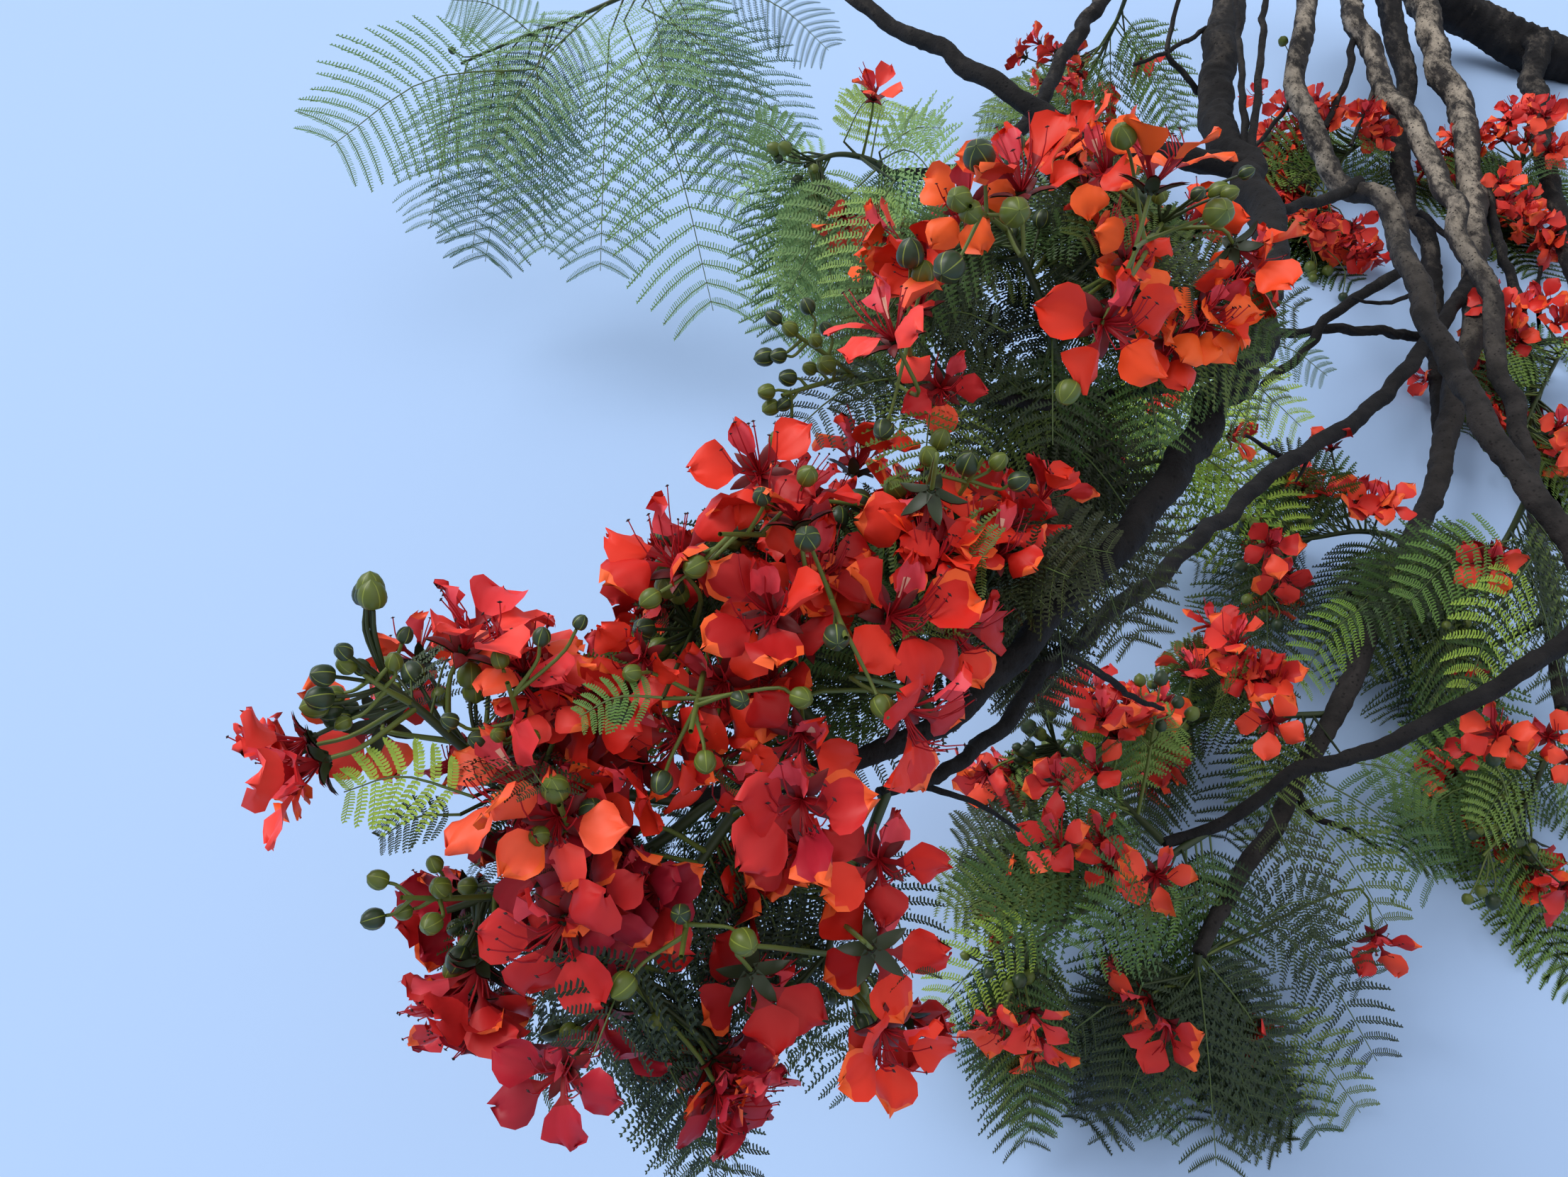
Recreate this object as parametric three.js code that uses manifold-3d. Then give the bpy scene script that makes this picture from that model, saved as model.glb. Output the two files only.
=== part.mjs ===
// A flowering bough of a flame tree (Delonix regia), cut from the crown and laid on the ground.
// Thirteen limbs fork from one thick bough. Masses of feathery leaves, buds and small blooms grow
// on them, and each large bloom is a piece of its own. Millimetres, +Z up, ground at z = 0.
import * as THREE from "three";
import Module from "manifold-3d";

// Where things lie is given as the eye sees them from above: across and down in the picture, in
// pixels, and how deep along the line of sight, in millimetres. The bough then lies as it grew.
const PICTURE = { width: 2212, height: 1661, focal: 1597 };
const EYE = new THREE.Vector3(-893.2, -1729.9, 1450);
const EYE_TILT = THREE.MathUtils.degToRad(50);

// Driving sizes of the plant, in millimetres.
const BLOOM_REACH = 57;
const BLOOM_CALYX = 7;
const PEDICEL_RADIUS = 2.2;
const BUD_LENGTH = 25;
const BUD_RADIUS = 9;
const STALK_RADIUS = 5.5;
const STALK_TIP_RADIUS = 2.6;
const PINNA_PITCH = 44;
const RIB_HALF_WIDTH = 2.2;
const RIB_THICKNESS = 4.4;
const CLEARANCE = 0.3;
const WELD = 0.02;

const LIMB_SIDES = 6;
const LIMB_STEP = 150;
const SHARE_DRAWN = 3;
const LEAF_SHARE_DRAWN = 5.4;
const GOLDEN_SHARE = 0.618034;
const GOLDEN_ANGLE = 2.399963;
const LEAF_LEAN = [0.35, 0.35];
const LEAF_HANG = 0.25;

const FORWARD = new THREE.Vector3(0, Math.cos(EYE_TILT), -Math.sin(EYE_TILT));
const UPWARD = new THREE.Vector3(0, Math.sin(EYE_TILT), Math.cos(EYE_TILT));
const ACROSS = new THREE.Vector3(1, 0, 0);
const TO_EYE = FORWARD.clone().negate();
const HANGING = UPWARD.clone().negate();

const BARK = { color: 0x5b534c, roughness: 0.9, metalness: 0 };
const LEAF = { color: 0x3f6b2a, roughness: 0.7, metalness: 0 };
const PETAL = { color: 0xd8301c, roughness: 0.6, metalness: 0 };

// Each limb: the limb it grows from, its route as [across, down, deep], and its end radii.
const LIMBS = {
  main_bough: {
    route: [[2480, 125, 2882], [2212, 78, 3010], [2040, 10, 3050], [1900, -90, 2960], [1760, -190, 2780]],
    radii: [66, 40],
  },
  crook_bough: {
    from: "main_bough",
    route: [[1765, -186, 2785], [1740, -80, 2350], [1735, 20, 1950], [1712, 110, 1800], [1722, 185, 1680],
      [1762, 250, 1560], [1788, 340, 1380], [1780, 450, 1210], [1740, 530, 1120], [1690, 620, 1050],
      [1600, 740, 980], [1500, 850, 930], [1390, 970, 890], [1265, 1050, 870], [1120, 1100, 866],
      [960, 1130, 860]],
    radii: [34, 5.5],
  },
  inner_bough: {
    from: "crook_bough",
    route: [[1748, 515, 1134], [1650, 540, 1120], [1560, 560, 1080], [1480, 570, 1040], [1400, 560, 1000]],
    radii: [9, 5.5],
  },
  left_fork: {
    from: "crook_bough",
    route: [[1755, 240, 1580], [1640, 215, 1590], [1540, 205, 1560], [1445, 141, 1580], [1353, 85, 1650],
      [1282, 50, 1720], [1212, 0, 1800], [1130, -60, 1900], [1030, -70, 2000], [960, -40, 2080]],
    radii: [18, 9],
  },
  upper_fork: {
    from: "crook_bough",
    route: [[1741, -85, 2360], [1640, -70, 2320], [1557, 0, 2150], [1515, 56, 2020], [1473, 134, 1870],
      [1416, 205, 1740], [1339, 240, 1620], [1261, 247, 1530]],
    radii: [19, 8],
  },
  great_bough: {
    from: "main_bough",
    route: [[1990, -25, 3000], [2009, 10, 2930], [2023, 78, 2820], [2058, 141, 2690], [2072, 247, 2500],
      [2084, 339, 2340], [2079, 423, 2210], [2051, 564, 2010], [2030, 670, 1890], [1974, 797, 1750],
      [1903, 964, 1600], [1825, 1112, 1480], [1741, 1253, 1390], [1691, 1345, 1330]],
    radii: [36, 9],
  },
  slender_bough: {
    from: "great_bough",
    route: [[2082, 385, 2265], [2016, 480, 2060], [1931, 578, 1800], [1811, 656, 1560], [1705, 748, 1380],
      [1614, 830, 1240], [1500, 920, 1110], [1409, 1028, 1010], [1330, 1090, 960], [1240, 1120, 930]],
    radii: [16, 5.5],
  },
  pale_bough: {
    from: "main_bough",
    route: [[1905, -85, 2960], [1910, 14, 2800], [1940, 95, 2660], [1995, 183, 2480], [2044, 282, 2300],
      [2079, 367, 2150], [2114, 494, 2020], [2140, 600, 1920], [2165, 705, 1840], [2182, 830, 1740],
      [2205, 1000, 1600]],
    radii: [28, 11],
  },
  spotted_bough: {
    from: "main_bough",
    route: [[1825, -140, 2880], [1840, 0, 2560], [1833, 127, 2330], [1870, 230, 2200], [1952, 296, 2080],
      [2005, 420, 1900], [2058, 536, 1760], [2150, 677, 1620], [2235, 800, 1540], [2262, 866, 1515]],
    radii: [24, 17],
  },
  rising_bough: {
    from: "spotted_bough",
    route: [[2258, 858, 1517], [2212, 900, 1495], [2129, 957, 1465], [2023, 1020, 1435], [1917, 1063, 1410],
      [1825, 1091, 1390], [1741, 1154, 1370], [1642, 1190, 1350]],
    radii: [15, 7],
  },
  back_bough: {
    from: "main_bough",
    route: [[1945, -60, 2985], [1981, 120, 2800], [1974, 247, 2620], [2016, 353, 2430], [2025, 494, 2220],
      [2032, 640, 2040]],
    radii: [30, 12],
  },
  edge_bough: {
    from: "main_bough",
    route: [[2168, 60, 2975], [2166, 120, 2870], [2178, 212, 2680], [2212, 353, 2430], [2238, 480, 2240]],
    radii: [32, 13],
  },
  cross_bough: {
    from: "back_bough",
    route: [[2024, 480, 2240], [1950, 468, 2150], [1854, 466, 2050], [1720, 487, 1900], [1640, 505, 1800]],
    radii: [11, 7],
  },
};

// Each mass: the limb its stem leaves, the stem's route, and how many leaves, buds and small
// blooms stand for those that grow on it. leaf is a leaf's length, leaf_from is how far up the
// stem leaves begin, lean is how much they lean on along it, at its foot and at its tip, and hang
// is how much they hang. The solids draw only the first share.
const MASSES = {
  left_head: {
    from: "crook_bough", route: [[960, 1130, 860], [830, 1115, 830], [708, 1093, 800], [590, 1000, 770],
      [515, 940, 755]],
    leaves: 6, leaf: 125, leaf_from: 0.3, buds: 9, blooms: 2,
  },
  lower_left_head: {
    from: "crook_bough", route: [[1015, 1121, 862], [900, 1205, 850], [740, 1250, 810], [630, 1285, 790]],
    leaves: 6, leaf: 110, leaf_from: 0.1, buds: 8, blooms: 3,
  },
  bottom_head: {
    from: "crook_bough", route: [[1060, 1114, 864], [985, 1220, 850], [920, 1330, 830], [880, 1420, 815]],
    leaves: 12, leaf: 165, leaf_from: 0.15, buds: 4, blooms: 3,
  },
  bottom_right_head: {
    from: "slender_bough", route: [[1250, 1118, 933], [1215, 1210, 900], [1180, 1300, 870], [1160, 1370, 860]],
    leaves: 12, leaf: 160, leaf_from: 0.1, buds: 4, blooms: 2,
  },
  middle_head: {
    from: "crook_bough", route: [[1200, 1075, 868], [1120, 990, 880], [1030, 920, 870], [950, 870, 850]],
    leaves: 12, leaf: 150, leaf_from: 0.1, buds: 7, blooms: 4,
  },
  crest_head: {
    from: "crook_bough", route: [[1320, 1018, 875], [1245, 900, 890], [1160, 790, 880], [1090, 710, 870]],
    leaves: 12, leaf: 140, leaf_from: 0.15, buds: 8, blooms: 3,
  },
  shoulder_head: {
    from: "crook_bough", route: [[1420, 937, 901], [1370, 860, 910], [1320, 780, 910], [1290, 690, 900]],
    leaves: 15, leaf: 150, leaf_from: 0.1, buds: 4, blooms: 3,
  },
  dark_fronds: {
    from: "inner_bough", route: [[1450, 567, 1026], [1450, 640, 1090], [1430, 710, 1110], [1380, 770, 1110]],
    leaves: 27, leaf: 190, leaf_from: 0.1, buds: 2, blooms: 1,
  },
  upper_left_head: {
    from: "inner_bough", route: [[1400, 560, 1000], [1320, 545, 985], [1240, 535, 975], [1150, 520, 970]],
    leaves: 12, leaf: 160, leaf_from: 0.15, buds: 14, blooms: 1,
  },
  upper_crown_head: {
    from: "inner_bough", route: [[1500, 568, 1050], [1480, 460, 1010], [1440, 360, 980], [1400, 290, 960]],
    leaves: 9, leaf: 170, leaf_from: 0.1, buds: 7, blooms: 3,
  },
  upper_right_head: {
    from: "inner_bough", route: [[1600, 551, 1098], [1600, 460, 1050], [1620, 360, 1010], [1650, 290, 980]],
    leaves: 6, leaf: 150, leaf_from: 0.1, buds: 5, blooms: 3,
  },
  top_fronds: {
    from: "left_fork", route: [[960, -40, 2080], [890, -10, 2100], [810, 25, 2110], [730, 55, 2110],
      [650, 90, 2100]],
    leaves: 38, leaf: 370, leaf_from: 0, lean: [-1, 1.5], hang: 1.1, buds: 0, blooms: 0,
  },
  light_fronds: {
    from: "upper_fork", route: [[1261, 247, 1530], [1225, 225, 1500], [1180, 218, 1475], [1135, 235, 1455]],
    leaves: 18, leaf: 215, leaf_from: 0.05, buds: 6, blooms: 1,
  },
  top_middle_head: {
    from: "upper_fork", route: [[1600, -38, 2245], [1575, 30, 2400], [1540, 100, 2590], [1500, 170, 2740],
      [1470, 215, 2795]],
    leaves: 15, leaf: 260, leaf_from: 0.2, buds: 6, blooms: 8,
  },
  right_middle_head: {
    from: "great_bough", route: [[1990, 761, 1788], [1920, 750, 1770], [1850, 760, 1750], [1780, 770, 1740]],
    leaves: 15, leaf: 210, leaf_from: 0.1, buds: 10, blooms: 5,
  },
  right_fan: {
    from: "spotted_bough", route: [[2160, 691, 1612], [2125, 760, 1640], [2080, 820, 1640], [2020, 880, 1620]],
    leaves: 15, leaf: 230, leaf_from: 0.1, buds: 3, blooms: 2,
  },
  lower_right_head: {
    from: "rising_bough", route: [[1642, 1190, 1350], [1580, 1130, 1390], [1520, 1078, 1420], [1472, 1034, 1430]],
    leaves: 9, leaf: 180, leaf_from: 0.1, buds: 12, blooms: 6,
  },
  lower_right_top: {
    from: "great_bough", route: [[1880, 1008, 1564], [1800, 1010, 1570], [1720, 1010, 1580], [1640, 1000, 1580]],
    leaves: 9, leaf: 190, leaf_from: 0.1, buds: 6, blooms: 7,
  },
  lower_fronds: {
    from: "great_bough", route: [[1691, 1345, 1330], [1688, 1368, 1335], [1682, 1392, 1342], [1672, 1415, 1350]],
    leaves: 24, leaf: 200, leaf_from: 0, buds: 3, blooms: 2,
  },
  lower_left_fronds: {
    from: "rising_bough", route: [[1725, 1160, 1366], [1600, 1240, 1330], [1490, 1310, 1300], [1410, 1365, 1280]],
    leaves: 18, leaf: 220, leaf_from: 0.05, buds: 4, blooms: 3,
  },
  far_right_head: {
    from: "pale_bough", route: [[2205, 1000, 1600], [2180, 1070, 1560], [2155, 1130, 1530], [2120, 1180, 1510]],
    leaves: 12, leaf: 210, leaf_from: 0.1, buds: 5, blooms: 4,
  },
  back_left_head: {
    from: "back_bough", route: [[1979, 170, 2730], [1910, 210, 2700], [1850, 270, 2620], [1800, 330, 2540]],
    leaves: 12, leaf: 250, leaf_from: 0.1, buds: 6, blooms: 12,
  },
  back_right_head: {
    from: "edge_bough", route: [[2176, 200, 2700], [2150, 230, 2670], [2120, 270, 2620], [2085, 310, 2560]],
    leaves: 9, leaf: 240, leaf_from: 0.1, buds: 4, blooms: 9,
  },
  edge_head: {
    from: "edge_bough", route: [[2230, 440, 2300], [2200, 500, 2200], [2170, 560, 2110], [2140, 630, 2030]],
    leaves: 9, leaf: 220, leaf_from: 0.1, buds: 4, blooms: 7,
  },
  back_fronds: {
    from: "cross_bough", route: [[1640, 505, 1800], [1650, 550, 1770], [1660, 590, 1750], [1670, 630, 1730]],
    leaves: 12, leaf: 210, leaf_from: 0, buds: 0, blooms: 0,
  },
};

// Each large bloom: the mass whose stem carries it, its middle as [across, down, deep], the
// bearing that its face leans to, counter-clockwise from the right, and how far it leans away
// from the eye: 0 is full face and 180 is seen from behind.
const LARGE_BLOOMS = {
  tip_bloom: { on: "left_head", at: [452, 1075, 735], bearing: 200, lean: 75 },
  star_bloom: { on: "left_head", at: [538, 1022, 815], bearing: 170, lean: 150 },
  crested_bloom: { on: "left_head", at: [655, 915, 760], bearing: 60, lean: 70 },
  inner_left_bloom: { on: "left_head", at: [745, 1115, 745], bearing: 150, lean: 65 },
  spread_bloom: { on: "middle_head", at: [960, 800, 790], bearing: 120, lean: 50 },
  plume_bloom: { on: "crest_head", at: [1125, 735, 780], bearing: 100, lean: 75 },
  ruffled_bloom: { on: "middle_head", at: [1090, 868, 770], bearing: 140, lean: 25 },
  crimson_bloom: { on: "middle_head", at: [1020, 962, 810], bearing: 200, lean: 20 },
  broad_bloom: { on: "crest_head", at: [1256, 868, 790], bearing: 20, lean: 20 },
  front_bloom: { on: "bottom_head", at: [1130, 1128, 720], bearing: 230, lean: 10 },
  side_bloom: { on: "crest_head", at: [1275, 1000, 760], bearing: 330, lean: 55 },
  drooping_bloom: { on: "shoulder_head", at: [1313, 700, 810], bearing: 270, lean: 140 },
  low_bloom: { on: "lower_left_head", at: [796, 1300, 740], bearing: 240, lean: 25 },
  low_left_bloom: { on: "lower_left_head", at: [676, 1365, 770], bearing: 250, lean: 80 },
  hanging_bloom: { on: "bottom_head", at: [850, 1425, 780], bearing: 262, lean: 60 },
  nodding_bloom: { on: "bottom_right_head", at: [1062, 1375, 780], bearing: 285, lean: 135 },
  lowest_bloom: { on: "bottom_right_head", at: [1232, 1340, 790], bearing: 300, lean: 150 },
  dark_face_bloom: { on: "upper_right_head", at: [1556, 455, 830], bearing: 280, lean: 20 },
  crown_bloom: { on: "upper_crown_head", at: [1440, 270, 840], bearing: 100, lean: 55 },
  twin_bloom: { on: "upper_right_head", at: [1625, 262, 830], bearing: 80, lean: 75 },
  edge_bloom: { on: "upper_right_head", at: [1745, 350, 970], bearing: 330, lean: 120 },
  left_upper_bloom: { on: "upper_left_head", at: [1262, 480, 850], bearing: 120, lean: 60 },
};

const library = await Module();
library.setup();

// A point that the eye sees at this place in the picture, this deep.
function seen([across, down, deep]) {
  const right = ((across - PICTURE.width / 2) / PICTURE.focal) * deep;
  const above = ((PICTURE.height / 2 - down) / PICTURE.focal) * deep;
  return EYE.clone()
    .addScaledVector(ACROSS, right)
    .addScaledVector(UPWARD, above)
    .addScaledVector(FORWARD, deep);
}

// Random numbers from 0 to 1 that are the same on every run.
function seeded(seed) {
  let state = seed >>> 0;
  return () => {
    state = (state + 0x6d2b79f5) >>> 0;
    let mixed = Math.imul(state ^ (state >>> 15), state | 1);
    mixed ^= mixed + Math.imul(mixed ^ (mixed >>> 7), mixed | 61);
    return ((mixed ^ (mixed >>> 14)) >>> 0) / 4294967296;
  };
}

function smoothRoute(points) {
  return new THREE.CatmullRomCurve3(points, false, "catmullrom", 0.5);
}

// Places along a curve with a normal that never twists along it, walked back from the end.
function framesAlong(curve, steps, endNormal) {
  const frames = [];
  let normal = endNormal;
  for (let i = steps; i >= 0; i--) {
    const middle = curve.getPoint(i / steps);
    const tangent = curve.getTangent(i / steps);
    if (!normal) normal = Math.abs(tangent.x) < 0.8 ? ACROSS : UPWARD;
    normal = normal.clone().addScaledVector(tangent, -normal.dot(tangent)).normalize();
    frames.unshift({ middle, tangent, normal, binormal: tangent.clone().cross(normal) });
  }
  return frames;
}

// A ring of points round a middle, counter-clockwise about its tangent.
function ringOf({ middle, normal, binormal }, radius, sides) {
  return Array.from({ length: sides }, (_, i) => {
    const angle = (i / sides) * Math.PI * 2;
    return middle.clone()
      .addScaledVector(normal, Math.cos(angle) * radius)
      .addScaledVector(binormal, Math.sin(angle) * radius);
  });
}

// A closed skin through rings that may hold different numbers of points, each counter-clockwise
// about the way on and starting at the same bearing. It ends in a point, or flat if tip is null.
// What would be below the ground is pressed flat on it.
function lofted(rings, tip) {
  const points = [];
  const faces = [];
  const put = (point) => {
    point.z = Math.max(point.z, 0);
    return points.push(point) - 1;
  };
  const marks = rings.map((ring) => ring.map(put));
  for (let i = 1; i + 1 < marks[0].length; i++) faces.push(marks[0][0], marks[0][i + 1], marks[0][i]);
  for (let r = 0; r + 1 < marks.length; r++) bridge(faces, marks[r], marks[r + 1]);
  const last = marks[marks.length - 1];
  if (tip) {
    const end = put(tip);
    last.forEach((mark, i) => faces.push(mark, last[(i + 1) % last.length], end));
  } else {
    for (let i = 1; i + 1 < last.length; i++) faces.push(last[0], last[i], last[i + 1]);
  }
  return solid(points, faces);
}

// The band of faces between two rings, which steps along whichever ring lags behind.
function bridge(faces, lower, upper) {
  let a = 0;
  let b = 0;
  while (a < lower.length || b < upper.length) {
    const lag = (a + 1) / lower.length <= (b + 1) / upper.length;
    const from = lower[a % lower.length];
    const over = upper[b % upper.length];
    if (b >= upper.length || (a < lower.length && lag)) {
      faces.push(from, lower[(a + 1) % lower.length], over);
      a += 1;
    } else {
      faces.push(from, upper[(b + 1) % upper.length], over);
      b += 1;
    }
  }
}

// A closed tube along a curve, tapering from one radius to the other, with flat ends. Its flat
// sides move out by the grown amount.
function taperedTube(curve, [startRadius, endRadius], sides, steps, grow = 0) {
  const frames = framesAlong(curve, steps);
  frames[0].middle.addScaledVector(frames[0].tangent, -grow);
  frames[steps].middle.addScaledVector(frames[steps].tangent, grow);
  return lofted(frames.map((frame, i) => {
    const taper = startRadius + (endRadius - startRadius) * (i / steps);
    const radius = taper + grow / Math.cos(Math.PI / sides);
    return ringOf(frame, radius, sides);
  }), null);
}

// Points and faces as a solid that can be joined and cut.
function solid(points, faces) {
  return new library.Manifold(new library.Mesh({
    numProp: 3,
    vertProperties: Float32Array.from(points.flatMap((point) => point.toArray())),
    triVerts: Uint32Array.from(faces),
  }));
}

// A solid's largest body, so that a loose scrap is dropped.
function largestBody(made) {
  return made.decompose().reduce((best, body) => (body.volume() > best.volume() ? body : best));
}

function geometryOf(made) {
  const mesh = made.getMesh();
  const geometry = new THREE.BufferGeometry();
  geometry.setAttribute("position", new THREE.BufferAttribute(mesh.vertProperties, 3));
  geometry.setIndex(new THREE.BufferAttribute(mesh.triVerts, 1));
  geometry.computeVertexNormals();
  return geometry;
}

// The direction that leans away from the eye by one angle, towards a bearing in the picture.
function facing(bearing, lean) {
  const turn = THREE.MathUtils.degToRad(bearing);
  const away = THREE.MathUtils.degToRad(lean);
  return TO_EYE.clone().multiplyScalar(Math.cos(away))
    .addScaledVector(ACROSS, Math.sin(away) * Math.cos(turn))
    .addScaledVector(UPWARD, Math.sin(away) * Math.sin(turn));
}

// Two directions square to an axis. The first is the nearer to the top of the picture.
function squareTo(axis) {
  const first = UPWARD.clone().addScaledVector(axis, -UPWARD.dot(axis));
  if (first.length() < 0.2) first.copy(ACROSS).addScaledVector(axis, -ACROSS.dot(axis));
  first.normalize();
  return [first, axis.clone().cross(first)];
}

// The rim of a bloom's five petals, with its face along the axis. Four petals spread and curl
// back, and the first, the standard, is shorter and stands up. Each row of the petal's outline
// holds an angle from its middle, a distance and a rise, as shares of the bloom's reach.
const FULL_PETAL = [[-25, 0.74, 0.1], [-10, 1, 0], [10, 1, 0], [25, 0.74, 0.1], [36, 0.16, 0.02]];
const PLAIN_PETAL = [[-20, 0.9, 0.06], [20, 0.9, 0.06], [36, 0.18, 0.02]];

function petalRim(middle, axis, reach, outline) {
  const [first, second] = squareTo(axis);
  const rim = [];
  for (let petal = 0; petal < 5; petal++) {
    for (const [offset, radius, lift] of outline) {
      const standard = petal === 0;
      const angle = THREE.MathUtils.degToRad(petal * 72 + offset);
      const rise = lift + (standard ? radius * 0.45 : 0);
      const out = radius * (standard ? 0.8 : 1);
      rim.push(middle.clone()
        .addScaledVector(first, Math.cos(angle) * out * reach)
        .addScaledVector(second, Math.sin(angle) * out * reach)
        .addScaledVector(axis, rise * reach));
    }
  }
  return rim;
}

// The place along a stem that is nearest to a point, moved back towards the stem's root.
function nearestOn(curve, point, back) {
  let best = 0;
  let least = Infinity;
  for (let i = 0; i <= 40; i++) {
    const distance = curve.getPoint(i / 40).distanceTo(point);
    if (distance < least) {
      least = distance;
      best = i / 40;
    }
  }
  return Math.max(0.12, best - back);
}

// Rings up a thin stalk that leaves a stem and comes to a bloom or bud along its axis.
function stalkRings(stem, end, axis, radius, sides, steps) {
  const start = stem.getPoint(nearestOn(stem, end, 0.12));
  const bend = end.clone().addScaledVector(axis, -start.distanceTo(end) * 0.34);
  const curve = smoothRoute(steps > 1 ? [start, bend, end] : [start, end]);
  return framesAlong(curve, steps, squareTo(axis)[0]).map((frame) => ringOf(frame, radius, sides));
}

function bloom(stem, middle, axis, reach, outline, steps) {
  const calyx = middle.clone().addScaledVector(axis, -BLOOM_CALYX);
  const rings = stalkRings(stem, calyx, axis, PEDICEL_RADIUS, 3, steps);
  rings.push(petalRim(middle, axis, reach, outline));
  return lofted(rings, middle.clone().addScaledVector(axis, 0.05 * reach));
}

function bud(stem, middle, axis, size) {
  const [normal, binormal] = squareTo(axis);
  const half = BUD_LENGTH * 0.5 * size;
  const at = (rise) => middle.clone().addScaledVector(axis, rise * half);
  const rings = stalkRings(stem, at(-1), axis, PEDICEL_RADIUS * 0.8, 4, 1);
  rings.push(ringOf({ middle: at(-0.35), normal, binormal }, BUD_RADIUS * size, 5));
  rings.push(ringOf({ middle: at(0.4), normal, binormal }, BUD_RADIUS * 0.85 * size, 5));
  return lofted(rings, at(1));
}

// A feathery leaf: a rib that bends from its stem, and pairs of pinnae that taper from it. Its
// outline is cut to the rib between the pinnae.
function frond({ root, reach, side, length }) {
  const curve = smoothRoute([root, root.clone().addScaledVector(reach, length * 0.5),
    root.clone().addScaledVector(reach, length * 0.9).addScaledVector(HANGING, length * 0.22)]);
  const pairs = Math.max(3, Math.round(length / PINNA_PITCH));
  const face = side.clone().cross(reach);
  const points = [];
  const faces = [];
  const put = (point, rise) => points.push(point.clone().addScaledVector(face, rise)) - 1;
  const rows = [];
  for (let i = 0; i <= pairs; i++) {
    const middle = curve.getPoint(i / pairs);
    const slim = i === pairs ? 0.5 : 1;
    rows.push([-1, 1].map((hand) => {
      const edge = middle.clone().addScaledVector(side, hand * RIB_HALF_WIDTH * slim);
      return [put(edge, RIB_THICKNESS / 2), put(edge, -RIB_THICKNESS / 2)];
    }));
  }
  const quad = (a, b, c, d) => faces.push(a, b, c, a, c, d);
  for (let i = 0; i < pairs; i++) {
    const [[lt, lb], [rt, rb]] = rows[i];
    const [[nlt, nlb], [nrt, nrb]] = rows[i + 1];
    quad(lt, rt, nrt, nlt);
    quad(lb, nlb, nrb, rb);
    for (const hand of [-1, 1]) {
      const tip = put(pinnaTip(curve, (i + 0.5) / pairs, side, hand, length), 0);
      const [t0, b0, t1, b1] = hand < 0 ? [nlt, nlb, lt, lb] : [rt, rb, nrt, nrb];
      faces.push(t0, tip, t1, b0, b1, tip, t0, b0, tip, t1, tip, b1);
    }
  }
  const [[slt, slb], [srt, srb]] = rows[0];
  quad(slt, slb, srb, srt);
  const [[elt, elb], [ert, erb]] = rows[pairs];
  quad(elt, ert, erb, elb);
  return solid(points, faces);
}

// Where a pinna ends: longest a third of the way up the leaf, swept forward, and drooping.
function pinnaTip(curve, share, side, hand, length) {
  const reach = length * 0.33 * Math.pow(Math.sin(Math.PI * (0.16 + 0.74 * share)), 0.8);
  return curve.getPoint(share)
    .addScaledVector(side, hand * reach)
    .addScaledVector(curve.getTangent(share), reach * 0.42)
    .addScaledVector(HANGING, reach * 0.16);
}

// The rule by which leaves, buds and small blooms leave a stem. Each draws its own numbers, so
// leaving one out changes no other.
function leafPlan(stem, mass, seed, index) {
  const draw = seeded(seed * 1000 + index);
  const share = mass.leaf_from + (1 - mass.leaf_from) * ((index * GOLDEN_SHARE + 0.35) % 1);
  const [atFoot, atTip] = mass.lean ?? LEAF_LEAN;
  const forward = atFoot + (atTip - atFoot) * share;
  const outward = awayFrom(stem, share, index * GOLDEN_ANGLE + draw() * 0.9, forward);
  const reach = outward.addScaledVector(HANGING, (mass.hang ?? LEAF_HANG) + 0.3 * draw()).normalize();
  const length = mass.leaf * (0.72 + 0.4 * draw());
  const lean = (draw() - 0.5) * 1.3;
  const faceUp = TO_EYE.clone().addScaledVector(ACROSS, lean).addScaledVector(UPWARD, draw() * 0.8);
  const side = reach.clone().cross(Math.abs(faceUp.dot(reach)) < 1 ? faceUp : UPWARD).normalize();
  return { root: stem.getPoint(share), reach, side, length };
}

// A direction that leaves a stem sideways, turned round it, and leaning forward along it.
function awayFrom(stem, share, around, forward) {
  const tangent = stem.getTangent(share);
  const flat = tangent.clone().cross(TO_EYE).normalize();
  const deep = flat.clone().cross(tangent).normalize();
  return flat.multiplyScalar(Math.cos(around))
    .addScaledVector(deep, Math.sin(around) * 0.75)
    .addScaledVector(tangent, forward).normalize();
}

function aboveGround(middle, room) {
  middle.z = Math.max(middle.z, room);
  return middle;
}

function budPlan(stem, seed, index) {
  const draw = seeded(seed * 1000 + 300 + index);
  const share = 0.55 + 0.45 * ((index * GOLDEN_SHARE + 0.9) % 1);
  const outward = awayFrom(stem, share, index * GOLDEN_ANGLE + draw(), 0.9);
  const out = 34 + 34 * draw();
  const size = 0.62 + 0.45 * draw();
  const middle = stem.getPoint(share).addScaledVector(outward, out);
  return { middle: aboveGround(middle, BUD_LENGTH * 0.6 * size), axis: outward, size };
}

function bloomPlan(stem, seed, index) {
  const draw = seeded(seed * 1000 + 600 + index);
  const share = 0.25 + 0.75 * ((index * GOLDEN_SHARE + 0.15) % 1);
  const outward = awayFrom(stem, share, index * GOLDEN_ANGLE + draw() * 1.2, 0.4);
  const out = 62 + 46 * draw();
  const axis = outward.clone().addScaledVector(TO_EYE, 0.5 * draw()).normalize();
  const reach = BLOOM_REACH * (0.72 + 0.2 * draw());
  const middle = stem.getPoint(share).addScaledVector(outward, out);
  return { middle: aboveGround(middle, reach), axis, reach };
}

const bough = new THREE.Group();
const placed = [];

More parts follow.
